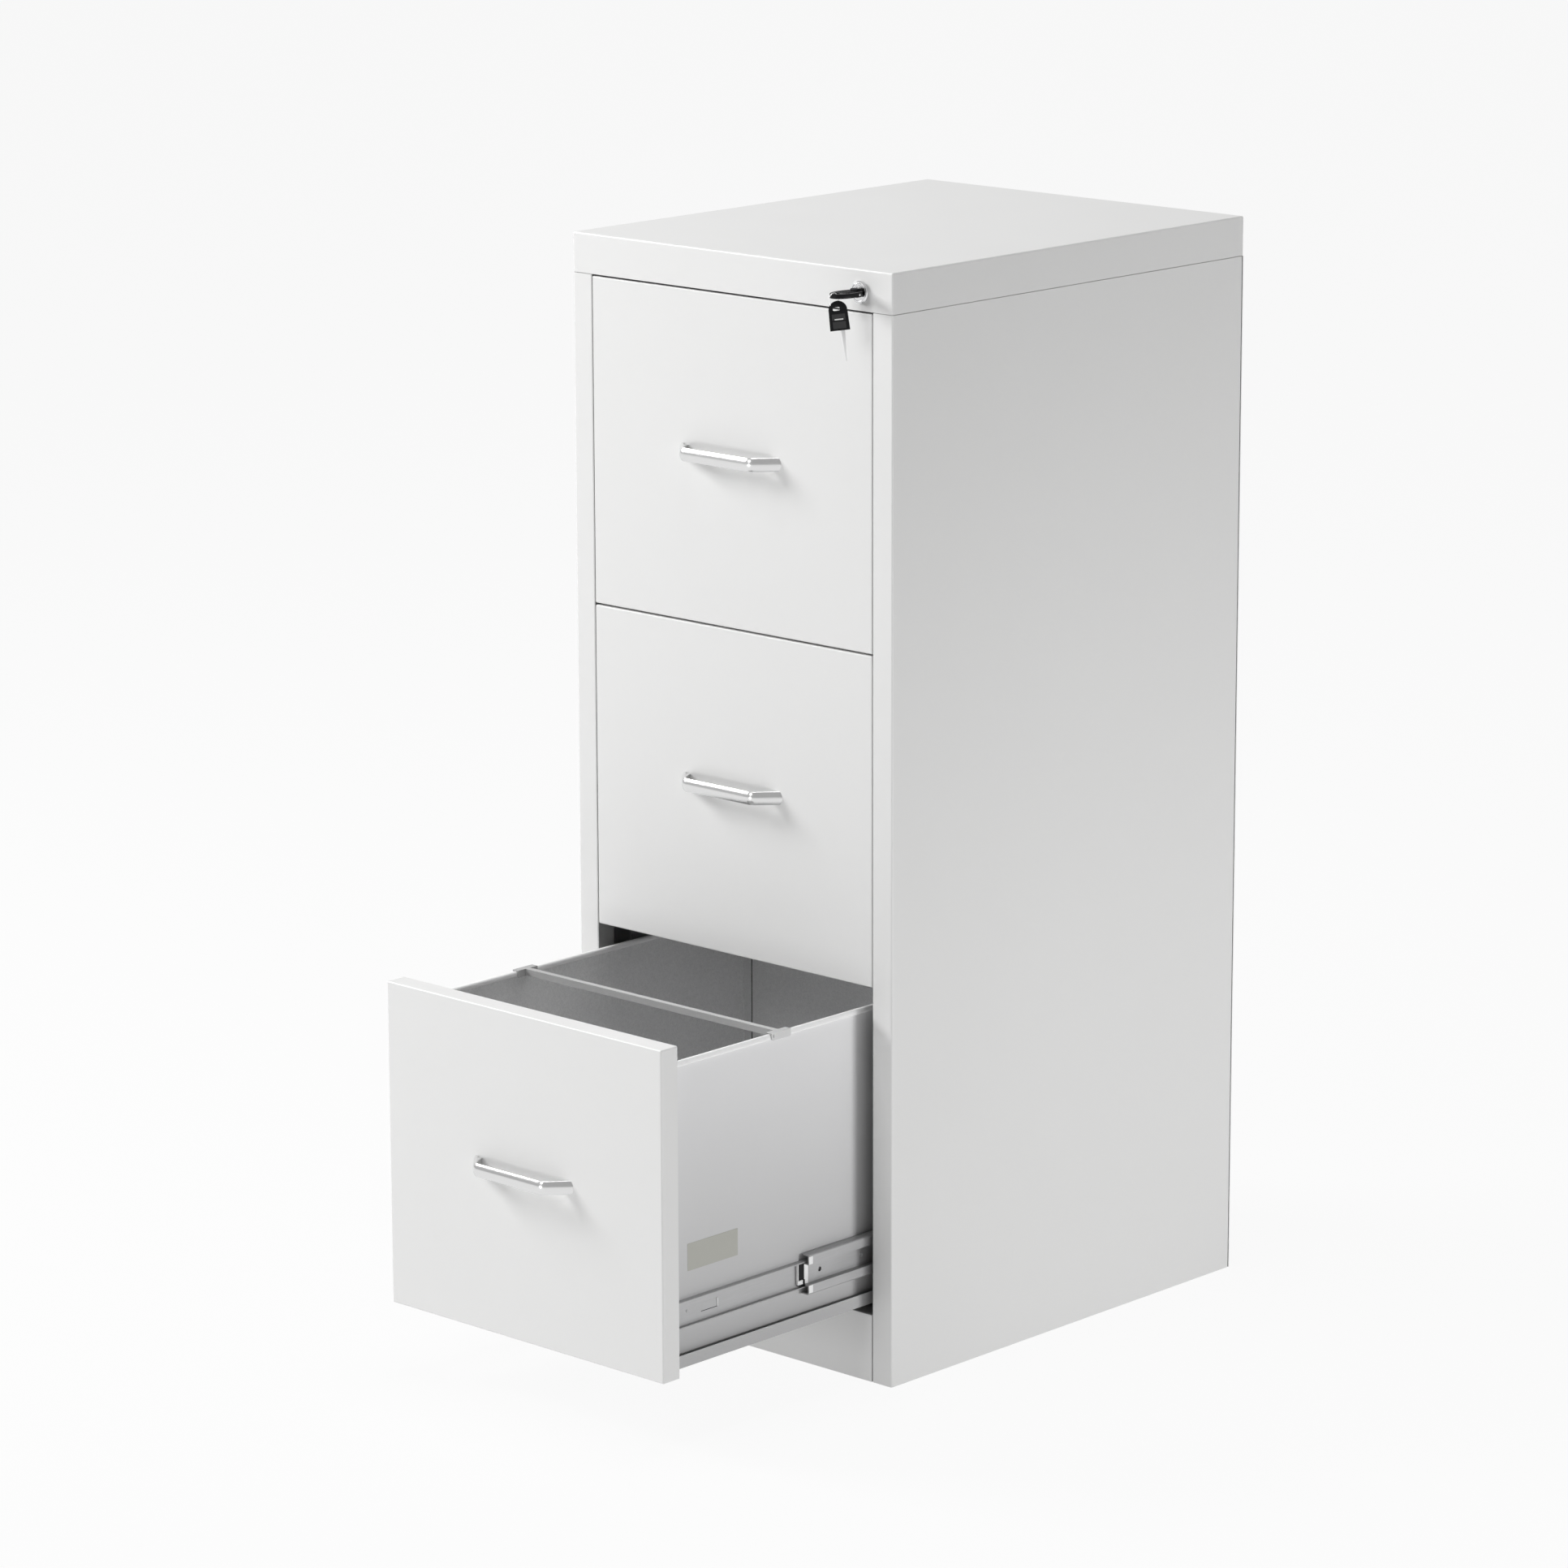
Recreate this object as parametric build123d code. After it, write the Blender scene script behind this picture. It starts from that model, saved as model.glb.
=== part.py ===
"""Vertical filing cabinet with three drawers, as the separate pieces it is assembled from.

Millimetres. +Z is up and the fronts face -Y. The origin is on the floor, at the middle of the base.
The lower drawer stands partly open, as it is photographed, and the other two are closed.
"""

import os

from build123d import *

# Outside of the cabinet
WIDTH = 393.0
DEPTH = 487.0
HEIGHT = 1020.0

# Sheet thicknesses
SHELL_SHEET = 1.0
FRONT_SHEET = 1.0
DRAWER_SHEET = 0.8
RAIL_SHEET = 1.2

# Front elevation, from the floor up
KICK_HEIGHT = 64.25
CAP_SKIRT = 36.75
CAP_SEAM = 0.5
FRONT_GAP = 1.75
FRONT_SIDE_GAP = 0.5
POST_WIDTH = 23.7

# Cabinet shell
CORNER_BEND = 1.6
TONGUE_BEND = 1.2
PAN_SHORT = 0.6
POST_DEPTH = 21.5
POST_LIP = 16.2
REAR_FLANGE = 15.0
LAP = 8.0
TONGUE_RISE = 32.5
CAP_RETURN = 15.0
BASE_FLANGE = 24.0
KICK_DEPTH = 20.7
UPRIGHT_FACE = 30.0
UPRIGHT_FLANGE = 10.0
FRONT_UPRIGHT_SETBACK = 43.5
REAR_UPRIGHT_SETBACK = 60.0

# Drawer fronts
FRONT_THICKNESS = 20.3
FRONT_BEND = 1.4
FRONT_RETURN = 14.0
LINER_PLAY = 0.2

# Drawer bodies
SLIDE_SPACE = 12.7
DRAWER_REAR_ROOM = 20.4
RIM_DROP = 18.5
RIM_BEAD = 5.0
RIM_ROUND = 1.9
PAN_RISE = 6.2
PAN_PROUD = 5.7
PAN_BAND = 11.4
WALL_FLANGE = 12.0
PAN_FLANGE = 10.0
BACK_DROP = 8.0
LOWER_OPENING = 272.0

# Ball-bearing rails
RAIL_OVERRUN = 3.7
RAIL_RISE = 54.3
CABINET_RAIL_HALF = 22.9
CENTRE_RAIL_HALF = 18.75
DRAWER_RAIL_HALF = 12.4
CENTRE_WEB_HALF = 10.7
RAIL_LIP = 3.4
DRAWER_RAIL_DEPTH = 5.2
CENTRE_WEB_OFFSET = 2.2
CENTRE_RIDGE = 9.4
CENTRE_FLANGE_START = 0.6
CENTRE_SETBACK = 9.0
CENTRE_ROUND = 1.8
DRAWER_RAIL_ROUND = 1.0
CABINET_RAIL_REACH = 9.5
RAIL_HOLE = 4.4
RAIL_HOLE_PITCH = 109.6
RAIL_HOLE_START = 20.8
CAGE_LENGTH = 150.0
CAGE_PLAY = 0.4
CAGE_SETBACK = 150.0
CENTRE_RAIL_SHARE = 0.41

# Hanging-file bar
BAR_SETBACK = 142.3
BAR_WIDTH = 6.0
BAR_HEIGHT = 6.0
CLIP_LENGTH = 25.0
CLIP_PLAY = 0.3
CLIP_DROP = 5.5
CLIP_SLOT = 2.4
CLIP_CORNER = 2.0

# Bow handles
HANDLE_RISE = 5.0
HANDLE_FOOT = 63.0
HANDLE_BOW = 41.0
HANDLE_LEG_RUN = 16.2
HANDLE_PROJECTION = 21.0
HANDLE_HEIGHT = 12.5
HANDLE_EDGE = 2.0
HANDLE_CROWN = 4.2
HANDLE_BEND = 6.0
HANDLE_ROUND = 0.8
HANDLE_GUSSET = 11.0
SCREW_INSET = 7.5
SCREW_SHANK = 3.9
SCREW_HEAD = 8.0
SCREW_HEAD_HEIGHT = 2.4
SCREW_BITE = 4.0
SCREW_PLAY = 0.05
SCREW_PASS = 4.5

# Lock, keys and locking rod
LOCK_INSET = 14.3
LOCK_DROP = 20.0
LOCK_FLANGE = 20.0
LOCK_FLANGE_HEIGHT = 2.5
LOCK_BARREL = 18.0
LOCK_LENGTH = 18.0
LOCK_PLAY = 0.15
LOCK_NUT = 24.0
LOCK_NUT_HEIGHT = 4.0
PLUG = 12.0
PLUG_PLAY = 0.05
PLUG_TAIL = 7.0
CAM_THROW = 12.0
CAM_WIDTH = 11.0
CAM_SHEET = 2.2
CAM_PIN = 4.0
CAM_PIN_LENGTH = 4.3
# The pin's circle leaves the steady pitch of the record's coupling by this share of the throw.
PIN_STRAY = 0.03
KEY_BLADE = 7.0
KEY_SHEET = 2.0
KEY_HEAD_LENGTH = 33.0
KEY_HEAD_WIDTH = 21.5
KEY_HEAD_THICKNESS = 4.0
KEY_EYE = 5.4
KEY_EYE_WALL = 3.2
KEY_STANDOFF = 1.0
ROD_WIDTH = 12.0
ROD_SHEET = 2.0
ROD_INSET = 3.2
ROD_PLAY = 0.3
ROD_FOOT = 200.0
ROD_ARM_HALF = 5.5
CATCH_RISE = 185.0
CATCH_HEIGHT = 12.0
CATCH_REACH = 5.4
CATCH_SETBACK = 5.2
CATCH_SHEET = 1.6
HOOK_HEIGHT = 10.0
GUIDE_HEIGHT = 10.0
GUIDE_SHEET = 1.2

# Places that follow from the sizes above
HALF_WIDTH = WIDTH / 2
FACE_Y = -DEPTH / 2
REAR_Y = DEPTH / 2
CAP_EDGE = HEIGHT - CAP_SKIRT
TONGUE_TOP = CAP_EDGE + TONGUE_RISE
OPENING = HALF_WIDTH - POST_WIDTH
FRONT_HALF = OPENING - FRONT_SIDE_GAP
FRONT_HEIGHT = (CAP_EDGE - KICK_HEIGHT - 4 * FRONT_GAP) / 3
FRONT_BACK_Y = FACE_Y + FRONT_THICKNESS
WEB_X = HALF_WIDTH - SHELL_SHEET
POST_BACK_Y = FACE_Y + POST_DEPTH
WALL_X = OPENING - SLIDE_SPACE
DRAWER_LENGTH = DEPTH - FRONT_THICKNESS - DRAWER_REAR_ROOM
RIM_HEIGHT = FRONT_HEIGHT - RIM_DROP
DRAWER_BACK_Y = FRONT_BACK_Y + DRAWER_LENGTH
PAN_X = WALL_X + PAN_PROUD
RAIL_FRONT_Y = POST_BACK_Y
RAIL_LENGTH = DRAWER_LENGTH + RAIL_OVERRUN
BAR_Y = FRONT_BACK_Y + BAR_SETBACK
SCREW_SPAN = HANDLE_FOOT - SCREW_INSET
LOCK_X = OPENING - LOCK_INSET
LOCK_Z = HEIGHT - LOCK_DROP
ROD_X = OPENING + ROD_INSET
ROD_Y = POST_BACK_Y + ROD_PLAY
CAM_RISE = CAM_THROW * 0.5**0.5
ROD_TRAVEL = 2 * CAM_RISE
LEVELS = {"lower": 0, "middle": 1, "upper": 2}


def block(x, y, z):
    """Box between the low and high limits given for each axis."""
    size = [high - low for low, high in (x, y, z)]
    middle = [(low + high) / 2 for low, high in (x, y, z)]
    return Pos(*middle) * Box(*size)


def standing(points, low, high):
    """Closed outline in plan, raised from one height to another."""
    return extrude(Pos(0, 0, low) * make_face(Polyline(*points, close=True)), amount=high - low)


def running(points, front, length):
    """Closed outline in X and Z, carried back from a front plane."""
    face = Plane(origin=(0, front, 0), x_dir=(1, 0, 0), z_dir=(0, -1, 0)) * make_face(
        Polyline(*points, close=True)
    )
    return extrude(face, amount=-length)


def folded(points, sheet, low, high, bend=0.0):
    """Folded sheet seen in plan: a path, its thickness to the left, raised between two heights."""
    path = FilletPolyline(*points, radius=bend) if bend else Polyline(*points)
    section = make_face(offset(path, amount=sheet, kind=Kind.INTERSECTION, side=Side.LEFT))
    return extrude(Pos(0, 0, low) * section, amount=high - low)


def drilled(shape, diameter, place, axis, depth):
    """Shape with a round hole from a place, along an axis."""
    start = Plane(origin=place, z_dir=axis)
    return shape - extrude(start * Circle(diameter / 2), amount=depth)


def mirrored(shape):
    """The same piece for the other side of the cabinet."""
    return mirror(shape, about=Plane.YZ)


def front_bottom(level):
    """Height of a closed drawer front's lower edge."""
    return KICK_HEIGHT + FRONT_GAP + level * (FRONT_HEIGHT + FRONT_GAP)


def save(name, shape):
    """Write one piece to its own file."""
    export_step(shape, f"parts/{name}.step")


def tray(x, y, z, sheet, bend):
    """Pan with bent edges that opens downwards: the outer box, less its inside."""
    outer = block(x, y, z)
    edges = outer.edges().filter_by(Axis.Z) + outer.faces().sort_by(Axis.Z)[-1].edges()
    outer = fillet(edges, bend)
    inner = block((x[0] + sheet, x[1] - sheet), (y[0] + sheet, y[1] - sheet), (z[0], z[1] - sheet))
    edges = inner.edges().filter_by(Axis.Z) + inner.faces().sort_by(Axis.Z)[-1].edges()
    return outer - fillet(edges, max(bend - sheet, 0.2))


def top_cover():
    """Deep tray over the whole top, with a return under its front and the hole for the lock."""
    cover = tray((-HALF_WIDTH, HALF_WIDTH), (FACE_Y, REAR_Y), (CAP_EDGE, HEIGHT), SHELL_SHEET, CORNER_BEND)
    cover += block(
        (-FRONT_HALF, FRONT_HALF),
        (FACE_Y + SHELL_SHEET, FACE_Y + CAP_RETURN),
        (CAP_EDGE, CAP_EDGE + SHELL_SHEET),
    )
    hole = LOCK_BARREL + 2 * LOCK_PLAY
    return drilled(cover, hole, (LOCK_X, FACE_Y - SHELL_SHEET, LOCK_Z), (0, 1, 0), 3 * SHELL_SHEET)


def side_panel():
    """Left side: web, front post with its return and lip, rear flange and the tongue under the cap."""
    path = [
        (-HALF_WIDTH + POST_WIDTH - SHELL_SHEET - POST_LIP, POST_BACK_Y),
        (-OPENING, POST_BACK_Y),
        (-OPENING, FACE_Y),
        (-HALF_WIDTH, FACE_Y),
        (-HALF_WIDTH, REAR_Y - SHELL_SHEET),
        (-WEB_X + REAR_FLANGE, REAR_Y - SHELL_SHEET),
    ]
    panel = folded(path[::-1], SHELL_SHEET, 0, CAP_EDGE - CAP_SEAM, CORNER_BEND)
    inset = SHELL_SHEET
    tongue = [
        (-OPENING - SHELL_SHEET, FACE_Y + inset),
        (-HALF_WIDTH + inset, FACE_Y + inset),
        (-HALF_WIDTH + inset, REAR_Y - SHELL_SHEET - inset),
    ]
    return panel + folded(tongue[::-1], SHELL_SHEET, CAP_EDGE - LAP, TONGUE_TOP, TONGUE_BEND)


def rod_guides():
    """Staples on the right post's lip that carry the locking rod."""
    reach = ROD_SHEET + 2 * ROD_PLAY
    x = (ROD_X - ROD_PLAY - GUIDE_SHEET, ROD_X + ROD_WIDTH + ROD_PLAY + GUIDE_SHEET)
    guides = Part()
    for level in LEVELS.values():
        z = front_bottom(level) + CATCH_RISE + 2 * CATCH_HEIGHT + ROD_TRAVEL
        outer = block(x, (POST_BACK_Y, POST_BACK_Y + reach + GUIDE_SHEET), (z, z + GUIDE_HEIGHT))
        inner = block(
            (x[0] + GUIDE_SHEET, x[1] - GUIDE_SHEET),
            (POST_BACK_Y, POST_BACK_Y + reach),
            (z, z + GUIDE_HEIGHT),
        )
        guides += outer - inner
    return guides


def back_panel():
    """Flat rear sheet over the sides' flanges, with a tongue that goes up inside the cap."""
    sheet = block((-HALF_WIDTH, HALF_WIDTH), (REAR_Y - SHELL_SHEET, REAR_Y), (0, CAP_EDGE - CAP_SEAM))
    clear = WEB_X - REAR_FLANGE - SHELL_SHEET
    tongue_y = (REAR_Y - 2 * SHELL_SHEET, REAR_Y - SHELL_SHEET)
    return sheet + block((-clear, clear), tongue_y, (CAP_EDGE - LAP, TONGUE_TOP))


def base_pan():
    """Floor of the cabinet: a plate between the posts, turned up along its four edges."""
    side_y = (POST_BACK_Y + ROD_PLAY, REAR_Y - 2 * SHELL_SHEET - PAN_SHORT)
    front_y = (FACE_Y + KICK_DEPTH, side_y[0])
    wide = (-WEB_X, WEB_X)
    narrow = (-FRONT_HALF, FRONT_HALF)
    pan = block(wide, side_y, (0, SHELL_SHEET)) + block(narrow, front_y, (0, SHELL_SHEET))
    pan += block(narrow, (front_y[0], front_y[0] + SHELL_SHEET), (0, KICK_HEIGHT - SHELL_SHEET))
    for x in ((-WEB_X, -WEB_X + SHELL_SHEET), (WEB_X - SHELL_SHEET, WEB_X)):
        pan += block(x, side_y, (0, BASE_FLANGE))
    rear = WEB_X - REAR_FLANGE - 2 * SHELL_SHEET
    return pan + block((-rear, rear), (side_y[1] - SHELL_SHEET, side_y[1]), (0, BASE_FLANGE))


def kick_plate():
    """Panel between the posts under the lowest drawer, folded back along its four edges."""
    x = (-FRONT_HALF, FRONT_HALF)
    y = (FACE_Y, FACE_Y + KICK_DEPTH)
    z = (0, KICK_HEIGHT)
    plate = block(x, y, z)
    front_edges = plate.faces().sort_by(Axis.Y)[0].edges().filter_by(Axis.X).sort_by(Axis.Z)[-1]
    plate = fillet(front_edges, FRONT_BEND)
    return plate - block(
        (x[0] + SHELL_SHEET, x[1] - SHELL_SHEET),
        (y[0] + SHELL_SHEET, y[1]),
        (z[0] + SHELL_SHEET, z[1] - SHELL_SHEET),
    )


def slide_uprights():
    """Four hat-section uprights on the side panels, in line with the posts, that carry the rails."""
    low = BASE_FLANGE + SHELL_SHEET
    high = CAP_EDGE - LAP
    foot_x = -WEB_X
    face_x = -OPENING - SHELL_SHEET
    uprights = Part()
    for y in (FACE_Y + FRONT_UPRIGHT_SETBACK, REAR_Y - REAR_UPRIGHT_SETBACK - UPRIGHT_FACE):
        path = [
            (foot_x, y - UPRIGHT_FLANGE),
            (foot_x, y + SHELL_SHEET),
            (face_x, y + SHELL_SHEET),
            (face_x, y + UPRIGHT_FACE - SHELL_SHEET),
            (foot_x, y + UPRIGHT_FACE - SHELL_SHEET),
            (foot_x, y + UPRIGHT_FACE + UPRIGHT_FLANGE),
        ]
        section = offset(Polyline(*path), amount=SHELL_SHEET, kind=Kind.INTERSECTION, side=Side.RIGHT)
        section = make_face(section)
        uprights += extrude(Pos(0, 0, low) * section, amount=high - low)
    return uprights + mirrored(uprights)


def rail_height(level):
    """Height of the rails' middle line."""
    return front_bottom(level) + RAIL_RISE


def rail(points, level, setback=0.0):
    """Right-hand rail from half of its section: distances out from the drawer and up from its middle."""
    upper = [(WALL_X + out, rail_height(level) + up) for out, up in points]
    lower = [(WALL_X + out, rail_height(level) - up) for out, up in points]
    return running(upper + lower[::-1], RAIL_FRONT_Y + setback, RAIL_LENGTH - setback)


def rolled(member, level, out, up, radius):
    """Round a rail's two long edges at one distance out from the drawer and up from its middle."""
    tolerance = RAIL_SHEET / 10
    edges = [
        edge
        for edge in member.edges().filter_by(Axis.Y)
        if abs(edge.center().X - WALL_X - out) < tolerance
        and abs(abs(edge.center().Z - rail_height(level)) - up) < tolerance
    ]
    return fillet(edges, radius)


def cabinet_rail(level):
    """Outer channel of the slide, screwed to the uprights."""
    half, sheet = CABINET_RAIL_HALF, RAIL_SHEET
    reach = SLIDE_SPACE - CABINET_RAIL_REACH
    return rail(
        [
            (SLIDE_SPACE, half),
            (reach, half),
            (reach, half - RAIL_LIP),
            (reach + sheet, half - RAIL_LIP),
            (reach + sheet, half - sheet),
            (SLIDE_SPACE - sheet, half - sheet),
        ],
        level,
    )


def centre_rail(level):
    """Middle member: a recessed web between two ridges that hold both rows of balls."""
    half, sheet, web = CENTRE_RAIL_HALF, RAIL_SHEET, CENTRE_WEB_HALF
    member = rail(
        [
            (CENTRE_WEB_OFFSET, web),
            (CENTRE_RIDGE - sheet, web),
            (CENTRE_RIDGE - sheet, half - sheet),
            (CENTRE_FLANGE_START, half - sheet),
            (CENTRE_FLANGE_START, half),
            (CENTRE_RIDGE, half),
            (CENTRE_RIDGE, web - sheet),
            (CENTRE_WEB_OFFSET + sheet, web - sheet),
        ],
        level,
        CENTRE_SETBACK,
    )
    member = rolled(member, level, CENTRE_RIDGE, half, CENTRE_ROUND)
    for number in range(3):
        y = RAIL_FRONT_Y + CENTRE_SETBACK + RAIL_HOLE_START + number * RAIL_HOLE_PITCH
        member = drilled(member, RAIL_HOLE, (WALL_X, y, rail_height(level)), (1, 0, 0), CENTRE_RIDGE)
    return member


def drawer_rail(level):
    """Inner channel of the slide, fixed to the drawer's wall."""
    half, sheet = DRAWER_RAIL_HALF, RAIL_SHEET
    member = rail(
        [
            (0, half),
            (DRAWER_RAIL_DEPTH, half),
            (DRAWER_RAIL_DEPTH, half - sheet),
            (sheet, half - sheet),
        ],
        level,
    )
    return rolled(member, level, DRAWER_RAIL_DEPTH, half, DRAWER_RAIL_ROUND)


def ball_cages(level, out, up):
    """Ball-cage strips for one pair of slides, above and below the rails' middle on both sides."""
    y = RAIL_FRONT_Y + CAGE_SETBACK
    z = rail_height(level)
    cages = Part()
    for low, high in (up, (-up[1], -up[0])):
        cages += block((WALL_X + out[0], WALL_X + out[1]), (y, y + CAGE_LENGTH), (z + low, z + high))
    return cages + mirrored(cages)


def inner_ball_cages(level):
    """Cages between the drawer rail and the centre rail."""
    out = (CENTRE_WEB_OFFSET, CENTRE_RIDGE - RAIL_SHEET - CAGE_PLAY)
    up = (DRAWER_RAIL_HALF + CAGE_PLAY, CENTRE_RAIL_HALF - RAIL_SHEET - CAGE_PLAY)
    return ball_cages(level, out, up)


def outer_ball_cages(level):
    """Cages between the centre rail and the cabinet rail."""
    reach = SLIDE_SPACE - CABINET_RAIL_REACH
    out = (reach + RAIL_SHEET + CAGE_PLAY, CENTRE_RIDGE)
    up = (CENTRE_RAIL_HALF + CAGE_PLAY, CABINET_RAIL_HALF - RAIL_SHEET - CAGE_PLAY)
    return ball_cages(level, out, up)


def drawer_front(level):
    """Front pan with bent edges, and the return flanges that the drawer body is welded to."""
    x = (-FRONT_HALF, FRONT_HALF)
    y = (FACE_Y, FRONT_BACK_Y)
    z = (front_bottom(level), front_bottom(level) + FRONT_HEIGHT)
    front = block(x, y, z)
    edges = front.faces().sort_by(Axis.Y)[0].edges() + front.edges().filter_by(Axis.Y)
    front = fillet(edges, FRONT_BEND)
    inside = [(low + FRONT_SHEET, high - FRONT_SHEET) for low, high in (x, y, z)]
    window = [(low + FRONT_RETURN, high - FRONT_RETURN) for low, high in (x, z)]
    front -= block(*inside)
    front -= block(window[0], (FRONT_BACK_Y - 2 * FRONT_SHEET, FRONT_BACK_Y), window[1])
    for side in (-1, 1):
        place = (side * SCREW_SPAN, FACE_Y - FRONT_SHEET, handle_height(level))
        front = drilled(front, SCREW_PASS, place, (0, 1, 0), 3 * FRONT_SHEET)
    return front


def drawer_liner(level):
    """Inner sheet that closes the front pan, behind its return flanges."""
    inset = FRONT_SHEET + LINER_PLAY
    low = front_bottom(level)
    return block(
        (-FRONT_HALF + inset, FRONT_HALF - inset),
        (FRONT_BACK_Y - 2 * FRONT_SHEET, FRONT_BACK_Y - FRONT_SHEET),
        (low + inset, low + FRONT_HEIGHT - inset),
    )


def drawer_wall(level):
    """Right wall: a sheet with a rolled rim, and flanges to the front and the pan."""
    base = front_bottom(level)
    floor = base + PAN_RISE + DRAWER_SHEET
    top = base + RIM_HEIGHT
    body_y = (FRONT_BACK_Y, DRAWER_BACK_Y)
    x = (WALL_X - DRAWER_SHEET, WALL_X)
    wall = block(x, body_y, (floor, top - RIM_BEAD / 2))
    wall += block((WALL_X - WALL_FLANGE, WALL_X), body_y, (floor, floor + DRAWER_SHEET))
    front_flange = (FRONT_BACK_Y, FRONT_BACK_Y + DRAWER_SHEET)
    wall += block((WALL_X - WALL_FLANGE, WALL_X), front_flange, (floor, top - RIM_BEAD))
    bead = Plane(origin=(WALL_X - DRAWER_SHEET / 2, FRONT_BACK_Y, top - RIM_BEAD / 2), z_dir=(0, 1, 0))
    bead = extrude(bead * RectangleRounded(RIM_BEAD, RIM_BEAD, RIM_ROUND), amount=DRAWER_LENGTH)
    return wall + bead


def drawer_catch(level):
    """Tab welded on the right wall, which a hook of the locking rod holds."""
    y = FRONT_BACK_Y + CATCH_SETBACK
    middle = front_bottom(level) + CATCH_RISE
    return block(
        (WALL_X, WALL_X + CATCH_REACH),
        (y, y + CATCH_SHEET),
        (middle - CATCH_HEIGHT / 2, middle + CATCH_HEIGHT / 2),
    )


def drawer_back(level):
    """Back wall, folded forward along both sides, with a hemmed upper edge."""
    base = front_bottom(level)
    floor = base + PAN_RISE + 2 * DRAWER_SHEET
    top = base + RIM_HEIGHT - BACK_DROP
    half = WALL_X - DRAWER_SHEET
    y = (DRAWER_BACK_Y - DRAWER_SHEET, DRAWER_BACK_Y)
    back = block((-half, half), y, (floor, top))
    for x in ((-half, -half + DRAWER_SHEET), (half - DRAWER_SHEET, half)):
        back += block(x, (DRAWER_BACK_Y - WALL_FLANGE, DRAWER_BACK_Y), (floor, top - RIM_BEAD))
    hem = (DRAWER_BACK_Y - 2 * DRAWER_SHEET, DRAWER_BACK_Y)
    return back + block((-half, half), hem, (top - RIM_BEAD, top))


def drawer_pan(level):
    """Bottom of the drawer: a plate that reaches past the walls, with its edges turned up."""
    low = front_bottom(level) + PAN_RISE
    y = (FRONT_BACK_Y, DRAWER_BACK_Y)
    path = [
        (-PAN_X, low + PAN_BAND),
        (-PAN_X, low),
        (PAN_X, low),
        (PAN_X, low + PAN_BAND),
    ]
    section = offset(Polyline(*path), amount=DRAWER_SHEET, kind=Kind.INTERSECTION, side=Side.LEFT)
    section = Plane(origin=(0, y[0], 0), x_dir=(1, 0, 0), z_dir=(0, -1, 0)) * make_face(section)
    pan = extrude(section, amount=-DRAWER_LENGTH)
    clear = WALL_X - WALL_FLANGE - DRAWER_SHEET
    return pan + block((-clear, clear), (y[0], y[0] + DRAWER_SHEET), (low, low + PAN_FLANGE))


def file_bar(level):
    """Cross bar for hanging files: a channel with a clip over the rim at each end."""
    rim_top = front_bottom(level) + RIM_HEIGHT
    clip_top = rim_top + CLIP_PLAY + DRAWER_SHEET
    rim_middle = WALL_X - DRAWER_SHEET / 2
    inside_x = rim_middle - RIM_BEAD / 2 - CLIP_PLAY - DRAWER_SHEET
    outside_x = rim_middle + RIM_BEAD / 2 + CLIP_PLAY + DRAWER_SHEET
    saddle = [
        (inside_x, rim_top - CLIP_DROP),
        (inside_x, clip_top),
        (outside_x, clip_top),
        (outside_x, rim_top - CLIP_DROP),
    ]
    section = offset(Polyline(*saddle), amount=DRAWER_SHEET, kind=Kind.INTERSECTION, side=Side.RIGHT)
    plane = Plane(origin=(0, BAR_Y - CLIP_LENGTH / 2, 0), x_dir=(1, 0, 0), z_dir=(0, -1, 0))
    clip = extrude(plane * make_face(section), amount=-CLIP_LENGTH)
    lower = clip.edges().filter_by(Axis.X).group_by(Axis.Z)[0].filter_by_position(
        Axis.X, outside_x - 2 * DRAWER_SHEET, outside_x
    )
    clip = fillet(lower, CLIP_CORNER)
    slot_y = BAR_Y - CLIP_LENGTH / 2 + CLIP_CORNER
    clip -= block(
        (outside_x - 2 * DRAWER_SHEET, outside_x + 1),
        (slot_y, slot_y + DRAWER_SHEET),
        (rim_top - CLIP_DROP + CLIP_SLOT, rim_top - CLIP_PLAY),
    )
    bar_y = (BAR_Y - BAR_WIDTH / 2, BAR_Y + BAR_WIDTH / 2)
    bar_z = (clip_top - BAR_HEIGHT, clip_top)
    half = inside_x + DRAWER_SHEET
    bar = block((-half, half), bar_y, bar_z)
    bar -= block(
        (-half, half),
        (bar_y[0] + DRAWER_SHEET, bar_y[1] - DRAWER_SHEET),
        (bar_z[0], bar_z[1] - DRAWER_SHEET),
    )
    return bar + clip + mirrored(clip)


def handle_height(level):
    """Height of a handle's middle line."""
    return front_bottom(level) + FRONT_HEIGHT / 2 + HANDLE_RISE


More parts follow.
